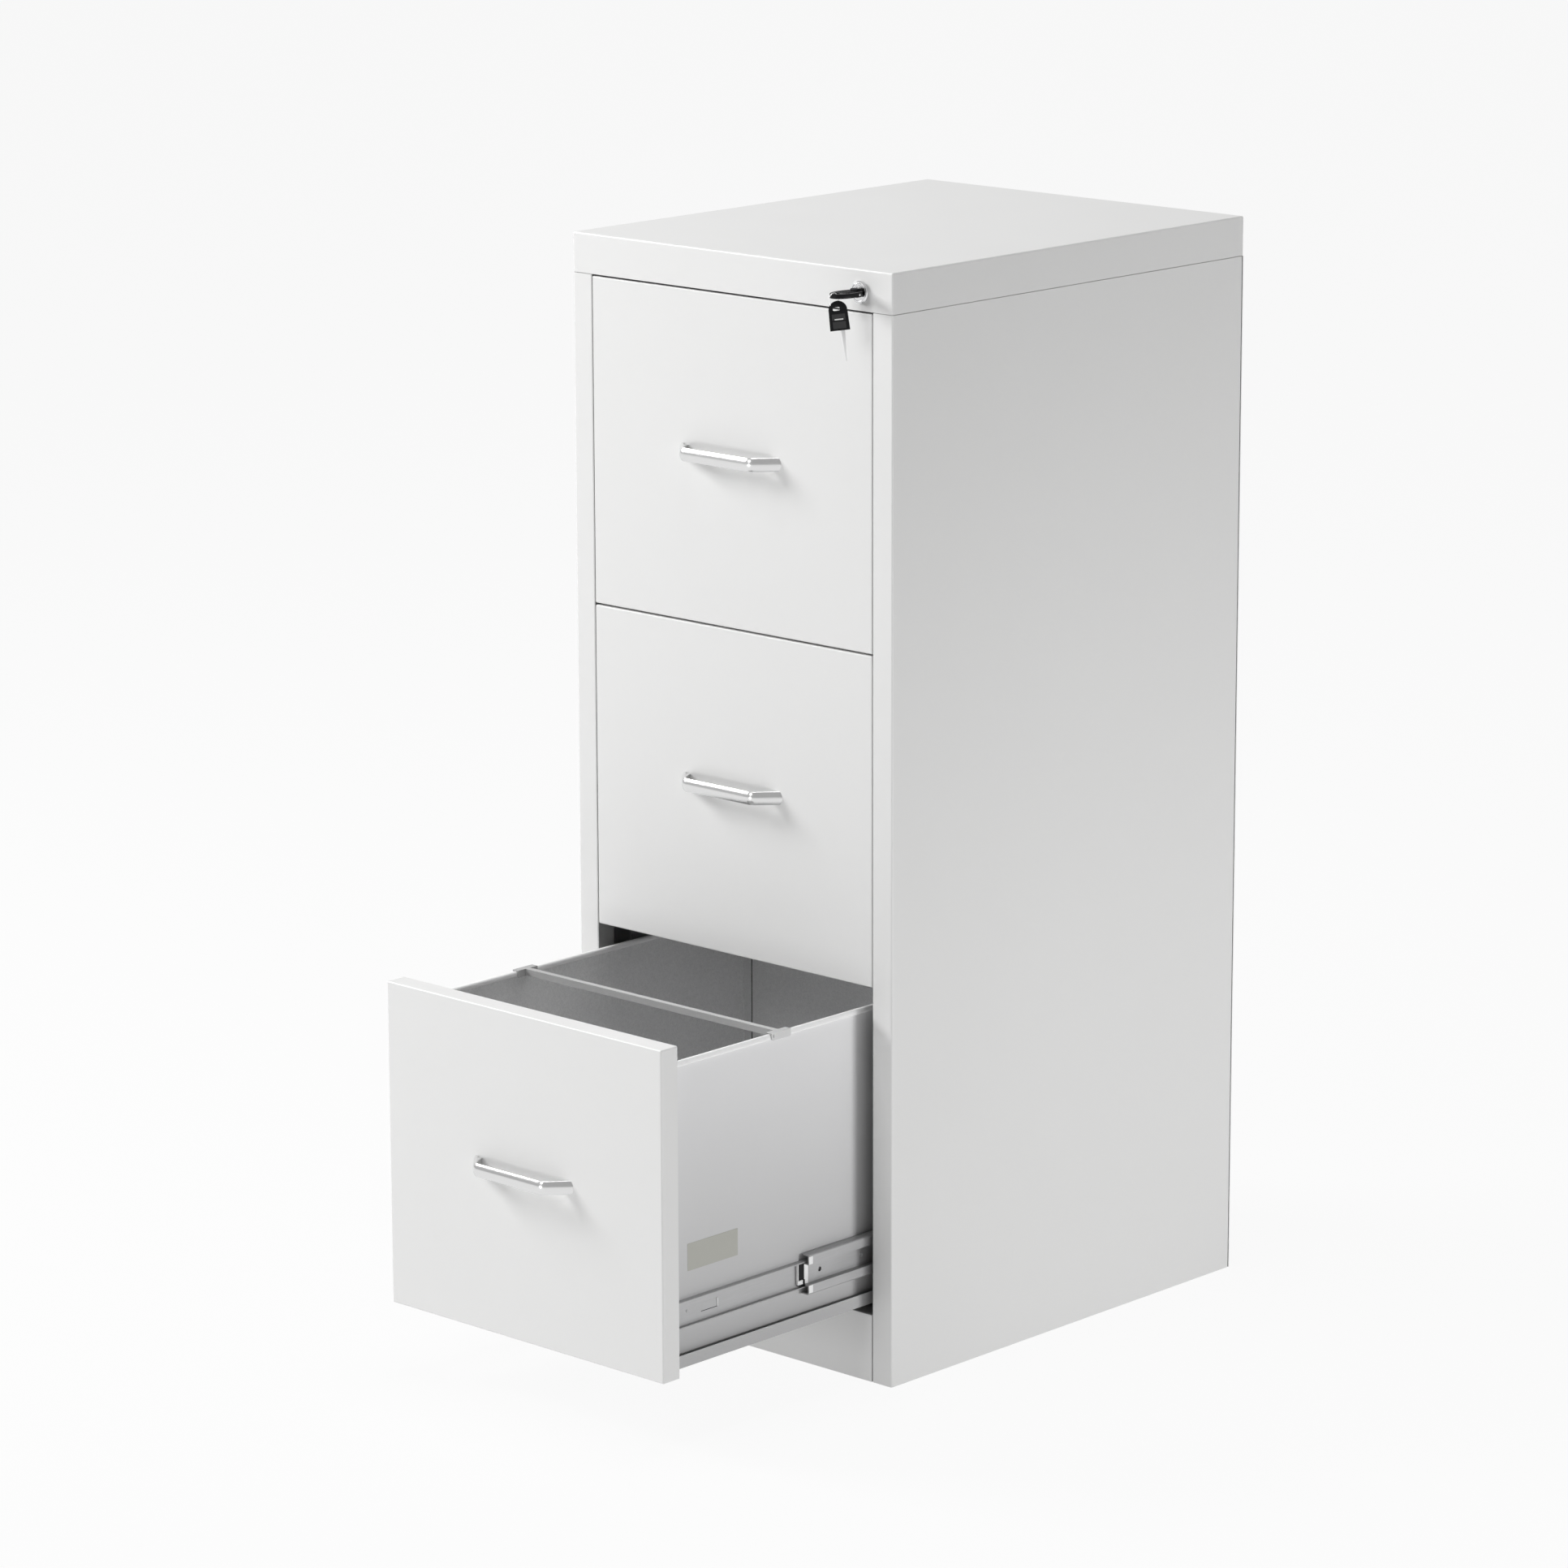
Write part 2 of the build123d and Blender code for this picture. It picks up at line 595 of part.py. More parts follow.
def handle(level):
    """Bow handle: one strip with a crowned outer face, bent forward on two slanted legs."""
    z = handle_height(level)
    inner_y = FACE_Y - HANDLE_PROJECTION + HANDLE_CROWN
    foot_y = inner_y + HANDLE_PROJECTION
    slope = HANDLE_LEG_RUN / (HANDLE_PROJECTION - HANDLE_CROWN)
    foot_x = HANDLE_BOW + slope * HANDLE_PROJECTION
    points = [(-foot_x, foot_y, z), (-HANDLE_BOW, inner_y, z), (HANDLE_BOW, inner_y, z), (foot_x, foot_y, z)]
    path = FilletPolyline(*points, radius=HANDLE_BEND)
    half = HANDLE_HEIGHT / 2
    flat = Polyline((half, HANDLE_EDGE), (half, 0), (-half, 0), (-half, HANDLE_EDGE))
    crown = ThreePointArc((-half, HANDLE_EDGE), (0, HANDLE_CROWN), (half, HANDLE_EDGE))
    start = Plane(origin=path @ 0, x_dir=(0, 0, 1), z_dir=path % 0)
    section = make_face(flat + crown)
    section = fillet(section.vertices(), HANDLE_ROUND)
    strip = sweep(start * section, path=path)
    for side in (-1, 1):
        gusset = [
            (side * (HANDLE_FOOT - HANDLE_EDGE), FACE_Y),
            (side * (HANDLE_FOOT - HANDLE_GUSSET), FACE_Y),
            (side * (HANDLE_BOW + slope * HANDLE_CROWN + 1), FACE_Y - HANDLE_PROJECTION + 2 * HANDLE_CROWN),
        ]
        strip += standing(gusset, z - half + HANDLE_EDGE / 2, z + half - HANDLE_EDGE / 2)
    behind = (FACE_Y, FACE_Y + HANDLE_PROJECTION)
    strip -= block((-2 * HANDLE_FOOT, 2 * HANDLE_FOOT), behind, (z - HANDLE_HEIGHT, z + HANDLE_HEIGHT))
    for side in (-1, 1):
        hole = SCREW_SHANK + 2 * SCREW_PLAY
        place = (side * SCREW_SPAN, FACE_Y, z)
        strip = drilled(strip, hole, place, (0, -1, 0), SCREW_BITE)
    return strip


def handle_screws(level):
    """Two pan-head screws, put in through the front sheet from inside."""
    z = handle_height(level)
    screws = Part()
    for side in (-1, 1):
        head = Plane(origin=(side * SCREW_SPAN, FACE_Y + FRONT_SHEET, z), z_dir=(0, 1, 0))
        screws += extrude(head * Circle(SCREW_HEAD / 2), amount=SCREW_HEAD_HEIGHT)
        screws += extrude(head * Circle(SCREW_SHANK / 2), amount=-(FRONT_SHEET + SCREW_BITE - ROD_PLAY))
    return screws


def lock_plane(y):
    """Plane across the lock's axis, looking back into the cabinet."""
    return Plane(origin=(LOCK_X, y, LOCK_Z), x_dir=(1, 0, 0), z_dir=(0, 1, 0))


def lock_housing():
    """Flanged barrel in the cap's skirt, with the nut that clamps it from behind."""
    flange = extrude(lock_plane(FACE_Y) * Circle(LOCK_FLANGE / 2), amount=-LOCK_FLANGE_HEIGHT)
    flange = chamfer(flange.faces().sort_by(Axis.Y)[0].edges(), LOCK_FLANGE_HEIGHT / 3)
    barrel = extrude(lock_plane(FACE_Y) * Circle(LOCK_BARREL / 2), amount=LOCK_LENGTH)
    nut = lock_plane(FACE_Y + SHELL_SHEET) * RegularPolygon(LOCK_NUT / 2, 6)
    housing = flange + barrel + extrude(nut, amount=LOCK_NUT_HEIGHT)
    bore = lock_plane(FACE_Y - 2 * LOCK_FLANGE_HEIGHT) * Circle(PLUG / 2 + PLUG_PLAY)
    return housing - extrude(bore, amount=LOCK_LENGTH + 4 * LOCK_FLANGE_HEIGHT)


def lock_plug():
    """Turning plug with the key slot in its face and a square tail for the cam."""
    length = LOCK_LENGTH + LOCK_FLANGE_HEIGHT
    start = FACE_Y - LOCK_FLANGE_HEIGHT
    plug = extrude(lock_plane(start) * Circle(PLUG / 2), amount=length)
    tail = lock_plane(start + length) * Rectangle(PLUG_TAIL, PLUG_TAIL)
    plug += extrude(tail, amount=CAM_SHEET + 1)
    slot = lock_plane(start) * Rectangle(KEY_BLADE + 2 * PLUG_PLAY, KEY_SHEET + 2 * PLUG_PLAY)
    return plug - extrude(slot, amount=LOCK_LENGTH)


def lock_cam():
    """Lever on the plug's tail, with the pin that moves the locking rod."""
    plane = lock_plane(FACE_Y + LOCK_LENGTH + PLUG_PLAY)
    lever = SlotCenterToCenter(CAM_THROW, CAM_WIDTH)
    arm = plane * Rot(0, 0, -45) * Pos(CAM_THROW / 2, 0) * lever
    cam = extrude(arm, amount=CAM_SHEET)
    hole = plane * Rectangle(PLUG_TAIL + 2 * PLUG_PLAY, PLUG_TAIL + 2 * PLUG_PLAY)
    cam -= extrude(hole, amount=CAM_SHEET)
    pin = plane * Pos(CAM_RISE, -CAM_RISE) * Circle(CAM_PIN / 2)
    return cam + extrude(pin, amount=CAM_SHEET + CAM_PIN_LENGTH)


def key():
    """Key in the lock: a thin blade with a lens-shaped head that lies flat."""
    root_y = FACE_Y - LOCK_FLANGE_HEIGHT - KEY_STANDOFF
    blade_z = (LOCK_Z - KEY_SHEET / 2, LOCK_Z + KEY_SHEET / 2)
    blade_y = (root_y - KEY_HEAD_LENGTH / 4, FACE_Y + LOCK_LENGTH / 2)
    blade = block((LOCK_X - KEY_BLADE / 2, LOCK_X + KEY_BLADE / 2), blade_y, blade_z)
    outline = Pos(LOCK_X, root_y - KEY_HEAD_LENGTH / 2, LOCK_Z - KEY_HEAD_THICKNESS / 2) * Ellipse(
        KEY_HEAD_WIDTH / 2, KEY_HEAD_LENGTH / 2
    )
    head = extrude(outline, amount=KEY_HEAD_THICKNESS)
    head = chamfer(head.edges().filter_by(GeomType.ELLIPSE), KEY_HEAD_THICKNESS / 4)
    eye_y = root_y - KEY_HEAD_LENGTH + KEY_EYE_WALL + KEY_EYE / 2
    low = LOCK_Z - KEY_HEAD_THICKNESS
    return drilled(blade + head, KEY_EYE, (LOCK_X, eye_y, low), (0, 0, 1), 2 * KEY_HEAD_THICKNESS)


def locking_rod():
    """Flat rod behind the right post, with a slotted arm at the lock and a hook welded on for each catch."""
    y = (ROD_Y, ROD_Y + ROD_SHEET)
    pin_z = LOCK_Z + CAM_RISE
    rod = block((ROD_X, ROD_X + ROD_WIDTH), y, (ROD_FOOT, pin_z + ROD_ARM_HALF))
    arm_x = LOCK_X + CAM_RISE - CAM_PIN
    rod += block((arm_x, ROD_X), y, (pin_z - ROD_ARM_HALF, pin_z + ROD_ARM_HALF))
    slack = CAM_THROW * PIN_STRAY + ROD_PLAY
    slot_x = (LOCK_X + CAM_RISE - CAM_PIN / 2 - ROD_PLAY, LOCK_X + CAM_THROW + CAM_PIN / 2 + ROD_PLAY)
    slot_half = CAM_PIN / 2 + slack
    rod -= block(slot_x, y, (pin_z - slot_half, pin_z + slot_half))
    pieces = [rod]
    for level in LEVELS.values():
        middle = front_bottom(level) + CATCH_RISE + ROD_TRAVEL
        x = (WALL_X + CATCH_REACH / 2, ROD_X)
        pieces.append(block(x, y, (middle - HOOK_HEIGHT / 2, middle + HOOK_HEIGHT / 2)))
    return pieces


def build_cabinet():
    """Write the pieces that stay still."""
    left = side_panel()
    save("top_cover", top_cover())
    save("left_side_panel", left)
    save("right_side_panel", mirrored(left) + rod_guides())
    save("back_panel", back_panel())
    save("base_pan", base_pan())
    save("kick_plate", kick_plate())
    save("slide_uprights", slide_uprights())
    rails = [cabinet_rail(level) for level in LEVELS.values()]
    save("right_cabinet_rails", Compound(children=rails))
    save("left_cabinet_rails", Compound(children=[mirrored(one) for one in rails]))
    save("lock_housing", lock_housing())


def build_lock():
    """Write the lock's moving pieces and the keys."""
    save("lock_plug", lock_plug())
    save("lock_cam", lock_cam())
    save("key", key())
    save("locking_rod", Compound(children=locking_rod()))


def build_drawer(name, level, opening):
    """Write one drawer and its slides, drawn out by an opening."""
    drawn = Pos(0, -opening, 0)
    follow = Pos(0, -opening * CENTRE_RAIL_SHARE, 0)
    inner_follow = Pos(0, -opening * (1 + CENTRE_RAIL_SHARE) / 2, 0)
    outer_follow = Pos(0, -opening * CENTRE_RAIL_SHARE / 2, 0)
    save(f"{name}_drawer_front", drawn * drawer_front(level))
    save(f"{name}_drawer_liner", drawn * drawer_liner(level))
    wall = drawn * drawer_wall(level)
    save(f"{name}_drawer_right_wall", Compound(children=[wall, drawn * drawer_catch(level)]))
    save(f"{name}_drawer_left_wall", mirrored(wall))
    save(f"{name}_drawer_back", drawn * drawer_back(level))
    save(f"{name}_drawer_pan", drawn * drawer_pan(level))
    save(f"{name}_file_bar", drawn * file_bar(level))
    save(f"{name}_handle", drawn * handle(level))
    save(f"{name}_handle_screws", drawn * handle_screws(level))
    save(f"{name}_right_drawer_rail", drawn * drawer_rail(level))
    save(f"{name}_left_drawer_rail", drawn * mirrored(drawer_rail(level)))
    save(f"{name}_right_centre_rail", follow * centre_rail(level))
    save(f"{name}_left_centre_rail", follow * mirrored(centre_rail(level)))
    save(f"{name}_inner_ball_cages", inner_follow * inner_ball_cages(level))
    save(f"{name}_outer_ball_cages", outer_follow * outer_ball_cages(level))


os.makedirs("parts", exist_ok=True)
build_cabinet()
build_lock()
for drawer, drawer_level in LEVELS.items():
    build_drawer(drawer, drawer_level, LOWER_OPENING if drawer == "lower" else 0)
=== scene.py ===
"""Looks of a vertical filing cabinet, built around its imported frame.

Metres. +Z is up and the drawer fronts face -Y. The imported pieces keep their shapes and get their
paint and metal here. The spare key, the ball rows, the rails' fittings and other small parts
are modelled as new pieces.
"""

from __future__ import annotations

import logging
import math
from contextlib import contextmanager
from dataclasses import dataclass
from enum import Enum
from typing import Callable, Iterator, Sequence

import bpy
from mathutils import Matrix, Vector

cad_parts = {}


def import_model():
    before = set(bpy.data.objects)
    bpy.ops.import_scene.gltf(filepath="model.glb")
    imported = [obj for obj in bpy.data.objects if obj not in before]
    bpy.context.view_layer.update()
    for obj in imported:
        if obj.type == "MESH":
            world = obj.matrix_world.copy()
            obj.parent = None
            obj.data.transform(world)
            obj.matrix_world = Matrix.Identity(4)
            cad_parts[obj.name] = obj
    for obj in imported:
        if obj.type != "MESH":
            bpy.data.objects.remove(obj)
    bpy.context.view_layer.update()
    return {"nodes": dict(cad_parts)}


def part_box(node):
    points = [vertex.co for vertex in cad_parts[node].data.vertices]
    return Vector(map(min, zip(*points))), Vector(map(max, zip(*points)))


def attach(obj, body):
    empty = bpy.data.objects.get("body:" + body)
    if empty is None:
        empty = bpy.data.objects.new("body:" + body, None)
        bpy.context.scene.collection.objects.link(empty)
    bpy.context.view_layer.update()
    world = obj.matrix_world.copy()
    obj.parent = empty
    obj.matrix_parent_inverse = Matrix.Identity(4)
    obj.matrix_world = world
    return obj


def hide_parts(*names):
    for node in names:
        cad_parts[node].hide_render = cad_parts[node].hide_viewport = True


LOG = logging.getLogger("cabinet")
Colour = tuple[float, float, float]
Point = tuple[float, float, float]
Pair = tuple[float, float]
Piece = bpy.types.Object
Material = bpy.types.Material
Nodes = dict[str, Piece]
Test = Callable[[Vector, Vector], bool]
WHITE = (1.0, 1.0, 1.0, 1.0)
RIM_DEPTH = 0.0052
SET_IN = 0.0001
CUT_REACH = 0.004


class Level(Enum):
    """The three drawers, from the floor up."""

    LOWER = "lower"
    MIDDLE = "middle"
    UPPER = "upper"


class Side(Enum):
    """The two sides of the cabinet, seen from the front."""

    LEFT = -1
    RIGHT = 1

    @property
    def word(self) -> str:
        """The side's name as the frame's nodes spell it."""
        return self.name.lower()


class Axis(Enum):
    """The direction in which a rolled or brushed grain runs."""

    X = (0.06, 1.0, 1.0)
    Y = (1.0, 0.06, 1.0)
    Z = (1.0, 1.0, 0.06)


class Signal:
    """A shader socket that reads as a number in an expression."""

    def __init__(self, network: Network, socket: bpy.types.NodeSocket) -> None:
        """Keep an output socket and the network that it belongs to."""
        self.network = network
        self.socket = socket

    def _maths(self, operation: str, first: object, second: object) -> Signal:
        """Add one Math node for two signals or numbers and return its result."""
        return self.network.node("ShaderNodeMath", {"operation": operation}, {0: first, 1: second})

    def __add__(self, other: object) -> Signal:
        """Return self + other."""
        return self._maths("ADD", self, other)

    def __radd__(self, other: object) -> Signal:
        """Return other + self."""
        return self._maths("ADD", other, self)

    def __sub__(self, other: object) -> Signal:
        """Return self - other."""
        return self._maths("SUBTRACT", self, other)

    def __rsub__(self, other: object) -> Signal:
        """Return other - self."""
        return self._maths("SUBTRACT", other, self)

    def __mul__(self, other: object) -> Signal:
        """Return self * other."""
        return self._maths("MULTIPLY", self, other)

    def __gt__(self, other: object) -> Signal:
        """Return 1 where self is greater than other, else 0."""
        return self._maths("GREATER_THAN", self, other)


class Network:
    """A node tree under construction, with one method for any node."""

    def __init__(self, tree: bpy.types.NodeTree) -> None:
        """Start with an empty tree, of a material or of a world."""
        self.tree = tree
        self.tree.nodes.clear()

    def feed(self, socket: bpy.types.NodeSocket, value: object) -> None:
        """Link a signal to an input socket, or set a plain value on it."""
        if isinstance(value, Signal):
            self.tree.links.new(value.socket, socket)
        else:
            socket.default_value = value

    def node(
        self, kind: str, settings: dict[str, object], sockets: dict[object, object], out: object = 0
    ) -> Signal:
        """Add a node, set it up and feed its sockets.

        Args:
            kind: The node's type.
            settings: Properties, with a ramp's stops under "stops".
            sockets: Values or signals by socket name or number.
            out: The output to return.

        Returns:
            The chosen output, without a socket for a node that has no outputs.
        """
        node = self.tree.nodes.new(kind)
        for name, value in settings.items():
            if name == "stops":
                self._ramp(node, value)
            else:
                setattr(node, name, value)
        for name, value in sockets.items():
            self.feed(node.inputs[name], value)
        return Signal(self, node.outputs[out] if len(node.outputs) else None)

    @staticmethod
    def _ramp(node: bpy.types.Node, stops: Sequence[tuple[float, float]]) -> None:
        """Give a ramp node its stops, each a position and a grey value."""
        elements = node.color_ramp.elements
        while len(elements) < len(stops):
            elements.new(1.0)
        for element, (place, tone) in zip(elements, stops):
            element.position = place
            element.color = (tone, tone, tone, 1.0)

    def rays(self, *kinds: str) -> Signal:
        """A signal that is 1 for rays of the named kinds, such as "Is Camera Ray"."""
        total = self.node("ShaderNodeLightPath", {}, {}, kinds[0])
        for kind in kinds[1:]:
            total = total + self.node("ShaderNodeLightPath", {}, {}, kind)
        return total


class Paint(Network):
    """A material under construction, with its principled shader."""

    def __init__(self, name: str) -> None:
        """Start a named material that holds only the shader."""
        self.material = bpy.data.materials.new(name)
        self.material.use_nodes = True
        super().__init__(self.material.node_tree)
        self.surface = self.node("ShaderNodeBsdfPrincipled", {}, {})

    def place(self, scale: Point = (1.0, 1.0, 1.0)) -> Signal:
        """Object coordinates, stretched by a scale along each axis."""
        coordinates = self.node("ShaderNodeTexCoord", {}, {}, "Object")
        return self.node("ShaderNodeMapping", {}, {"Vector": coordinates, "Scale": scale})

    def noise(self, scale: float, detail: float = 3.0, stretch: Point = (1.0, 1.0, 1.0)) -> Signal:
        """Fractal noise at a scale per metre, from 0 to 1."""
        return self.node(
            "ShaderNodeTexNoise",
            {},
            {"Vector": self.place(stretch), "Scale": scale, "Detail": detail, "Roughness": 0.55},
        )

    def blend(self, share: object, first: object, second: object) -> Signal:
        """Mix two colours, each a signal or a plain colour, by a signal."""
        pair = [colour if isinstance(colour, Signal) else (*colour, 1.0) for colour in (first, second)]
        return self.node("ShaderNodeMix", {"data_type": "RGBA"}, {0: share, 6: pair[0], 7: pair[1]}, 2)

    def spread(self, share: object, colour: Colour, width: float) -> Signal:
        """Vary a colour by a signal, from darker to lighter by the same width."""
        return self.blend(share, shade(colour, 1 - width), shade(colour, 1 + width))

    def outward(self, centre: Point) -> Signal:
        """1 on faces that look away from a centre, 0 on faces that look towards it."""
        spot = self.node("ShaderNodeTexCoord", {}, {}, "Object")
        normal = self.node("ShaderNodeTexCoord", {}, {}, "Normal")
        away = self.node("ShaderNodeVectorMath", {"operation": "SUBTRACT"}, {0: spot, 1: centre})
        turned = self.node(
            "ShaderNodeVectorMath", {"operation": "DOT_PRODUCT"}, {0: away, 1: normal}, "Value"
        )
        return turned > 0.0

    def bump(self, height: Signal, strength: float, distance: float) -> Signal:
        """Surface relief from a height signal."""
        return self.node(
            "ShaderNodeBump", {}, {"Height": height, "Strength": strength, "Distance": distance}, "Normal"
        )

    def finish(self, values: dict[str, object], cover: Signal | None = None) -> Material:
        """Feed the principled shader and hand over the material.

        Args:
            values: Values or signals by the shader's socket names.
            cover: A shader that takes the principled one's place on the surface.

        Returns:
            The finished material.
        """
        for name, value in values.items():
            self.feed(self.surface.socket.node.inputs[name], value)
        self.node("ShaderNodeOutputMaterial", {}, {"Surface": cover or self.surface})
        return self.material


def shade(colour: Colour, factor: float) -> Colour:
    """A colour made lighter or darker by a factor."""
    return tuple(min(1.0, max(0.0, part * factor)) for part in colour)


@dataclass(frozen=True)
class Enamel:
    """Baked enamel on sheet steel: fine orange peel, faint cloudiness and a soft gloss.

    With an inside shade share below 1, faces that look towards the centre are that much darker:
    painted shade on the cabinet's inside faces.
    """

    name: str
    colour: Colour
    roughness: float
    peel: float = 0.12
    grain: float = 900.0
    cloud: float = 0.012
    inside_shade: float = 1.0
    centre: Point = (0.0, 0.0, 0.5)

    def make(self) -> Material:
        """Build the material."""
        paint = Paint(self.name)
        clouds = paint.noise(3.5, 2.0)
        fine = paint.noise(self.grain, 2.0)
        wear = paint.noise(14.0, 4.0)
        tone = clouds * 0.7 + wear * 0.3
        colour = paint.spread(tone, self.colour, self.cloud)
        # Painted shade: faces that look towards the centre are darkened.
        if self.inside_shade < 1.0:
            colour = paint.blend(paint.outward(self.centre), shade(self.colour, self.inside_shade), colour)
        return paint.finish(
            {
                "Base Color": colour,
                "Roughness": self.roughness - 0.04 + wear * 0.08,
                "Metallic": 0.0,
                "Normal": paint.bump(fine, self.peel, 0.0002),
            }
        )


@dataclass(frozen=True)
class DrawerPaint:
    """Paint on a drawer's body: rough and grainy inside, smoother outside, with a painted highlight on the
    rim.

    The inside is told from the outside by which faces look away from the body's centre. The outside
    is painted darker towards the floor and paler up to the rim: painted shade.
    """

    name: str
    inner: Colour
    outer: Colour
    rim_highlight: Colour
    centre: Point
    floor: float
    rim: float
    inner_rough: float = 0.75
    outer_rough: float = 0.45
    grit: float = 750.0
    speckle: float = 0.26
    fade: float = 0.30
    shine: float = 0.2

    def make(self) -> Material:
        """Build the material."""
        paint = Paint(self.name)
        spot = paint.node("ShaderNodeTexCoord", {}, {}, "Object")
        height = paint.node("ShaderNodeSeparateXYZ", {}, {"Vector": spot}, "Z")
        outward = paint.outward(self.centre)
        topmost = height > self.rim
        outside = paint.node("ShaderNodeMath", {"operation": "MAXIMUM"}, {0: outward, 1: topmost})
        inside = 1 - outside
        grit = paint.noise(self.grit, 1.0)
        soft = paint.noise(220.0, 4.0)
        clouds = paint.noise(5.0, 2.0)
        grain = (grit * 0.6 + soft * 0.4) * inside + clouds * outside
        limits = {"Value": height, "From Min": self.floor, "From Max": self.rim}
        # Painted shade: the outside's colour runs from darker at the floor to paler at the rim.
        rise = paint.node("ShaderNodeMapRange", {}, limits, "Result")
        dark = paint.spread(grain, self.inner, self.speckle)
        shaded_outside = paint.spread(rise * 0.9 + clouds * 0.1, self.outer, self.fade)
        walls = paint.blend(outside, dark, shaded_outside)
        return paint.finish(
            {
                # The rim's paler colour is a painted highlight.
                "Base Color": paint.blend(topmost, walls, self.rim_highlight),
                "Roughness": inside * self.inner_rough + outside * self.outer_rough + soft * 0.06 - 0.03,
                "Metallic": 0.0,
                "Specular IOR Level": self.shine,
                "Normal": paint.bump(grit, 0.2, 0.0002),
            }
        )


@dataclass(frozen=True)
class SheetMetal:
    """Plated or drawn steel with a grain that runs one way."""

    name: str
    colour: Colour
    roughness: float
    grain: Axis
    metallic: float = 1.0
    streak: float = 0.08
    relief: float = 0.1

    def make(self) -> Material:
        """Build the material."""
        paint = Paint(self.name)
        streaks = paint.noise(700.0, 3.0, self.grain.value)
        broad = paint.noise(90.0, 3.0, self.grain.value)
        spangle = paint.noise(60.0, 2.0)
        tone = streaks * 0.5 + broad * 0.3 + spangle * 0.2
        return paint.finish(
            {
                "Base Color": paint.spread(tone, self.colour, self.streak),
                "Roughness": self.roughness - 0.06 + broad * 0.12,
                "Metallic": self.metallic,
                "Normal": paint.bump(streaks, self.relief, 0.0001),
            }
        )


@dataclass(frozen=True)
class Moulded:
    """Moulded plastic or rubber with a fine spark-eroded grain."""

    name: str
    colour: Colour
    roughness: float
    grain: float = 1800.0
    relief: float = 0.08
    spread: float = 0.15
    shine: float = 0.5

    def make(self) -> Material:
        """Build the material."""
        paint = Paint(self.name)
        grain = paint.noise(self.grain, 2.0)
        rub = paint.noise(120.0, 3.0)
        return paint.finish(
            {
                "Base Color": paint.spread(rub, self.colour, self.spread),
                "Roughness": self.roughness - 0.05 + rub * 0.1,
                "Metallic": 0.0,
                "Specular IOR Level": self.shine,
                "Normal": paint.bump(grain, self.relief, 0.0001),
            }
        )


def grey(tone: float, blue: float = 0.0) -> Colour:
    """A grey with its blue raised or lowered."""
    return tone, tone, tone + blue


class Finishes:
    """Every finish of the cabinet, made once."""

    def __init__(self) -> None:
        """Build all materials."""
        white = grey(0.80, -0.005)
        # The shell's inside faces are painted at 0.3 of the colour, as painted shade.
        self.shell = Enamel("shell_enamel", white, 0.42, inside_shade=0.3).make()
        self.front = Enamel("front_enamel", white, 0.40).make()
        self.body = {level: self.drawer_paint(level) for level in Level}
        self.rail = SheetMetal("rail_zinc", grey(0.405, 0.005), 0.46, Axis.Y, 0.4, 0.14).make()
        # Near white and not metallic: the painted highlight on the rails' front ends, the tongues' edges and
        # the retainers' frames.
        self.painted_highlight = SheetMetal("swaged_zinc", grey(0.94), 0.35, Axis.Z, 0.0, 0.03).make()
        self.upright = SheetMetal("upright_zinc", grey(0.45, 0.01), 0.45, Axis.Z).make()
        self.bar = SheetMetal("bar_zinc", grey(0.53), 0.50, Axis.X, 0.35).make()
        self.handle = SheetMetal("handle_satin", grey(0.75), 0.24, Axis.X, 1.0, 0.02, 0.04).make()
        self.chrome = SheetMetal("lock_chrome", grey(0.76, 0.01), 0.24, Axis.X, 1.0, 0.02, 0.03).make()
        self.steel = SheetMetal("bright_steel", grey(0.60, 0.01), 0.30, Axis.Y, 1.0, 0.04).make()
        self.polished = SheetMetal("polished_steel", grey(0.80), 0.34, Axis.Z, 1.0, 0.02, 0.02).make()
        self.blade = SheetMetal("blade_nickel", grey(0.80), 0.40, Axis.Z, 0.5, 0.02).make()
        self.ball = SheetMetal("ball_steel", grey(0.70, 0.01), 0.12, Axis.Y, 1.0, 0.01, 0.0).make()
        self.black = Moulded("black_plastic", grey(0.008, 0.001), 0.40, shine=0.12).make()
        self.matt = Moulded("matt_black_plastic", grey(0.035, 0.001), 0.60, relief=0.2, shine=0.3).make()
        self.cage = Moulded("cage_plastic", grey(0.02, 0.002), 0.5, shine=0.2).make()
        self.white = Moulded("pivot_white", grey(0.75, -0.01), 0.4).make()
        # Dark grey for the strips painted as shade in the drawers' rear inside corners.
        self.seam = Moulded("painted_corner_shade", grey(0.10), 0.8, relief=0.2, shine=0.1).make()
        paper = grey(0.455, -0.04)
        self.label = Moulded("blank_label", paper, 0.6, grain=700.0, relief=0.05, spread=0.02).make()

    @staticmethod
    def drawer_paint(level: Level) -> Material:
        """Paint of one drawer's body, which knows the drawer's middle and the rim's height."""
        low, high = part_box(f"{level.value}_drawer_right_wall")
        centre = (0.0, (low.y + high.y) / 2, (low.z + high.z) / 2)
        # The third grey is the rim's painted highlight.
        inner, outer, rim_highlight = grey(0.84, 0.005), grey(0.665, 0.005), grey(0.92)
        name = f"{level.value}_drawer_enamel"
        return DrawerPaint(name, inner, outer, rim_highlight, centre, low.z, high.z - RIM_DEPTH).make()


def dress(piece: Piece, material: Material) -> None:
    """Give every slot of a piece one material."""
    if not piece.data.materials:
        piece.data.materials.append(material)
    for number in range(len(piece.data.materials)):
        piece.data.materials[number] = material


def around(centre: float, reach: float) -> Pair:
    """The two ends of a span about a centre."""
    return centre - reach, centre + reach


def shift(pair: Pair, base: float) -> Pair:
    """A span counted from a base."""
    return base + pair[0], base + pair[1]


def span(box: Sequence[Vector]) -> tuple[Vector, Vector, float]:
    """A box's lowest corner, its highest corner and its middle height."""
    low, high = box
    return low, high, (low.z + high.z) / 2


def facing(*axis: float) -> Test:
    """A test for the faces that look along an axis."""
    way = Vector(axis)
    return lambda centre, normal: normal.dot(way) > 0.9


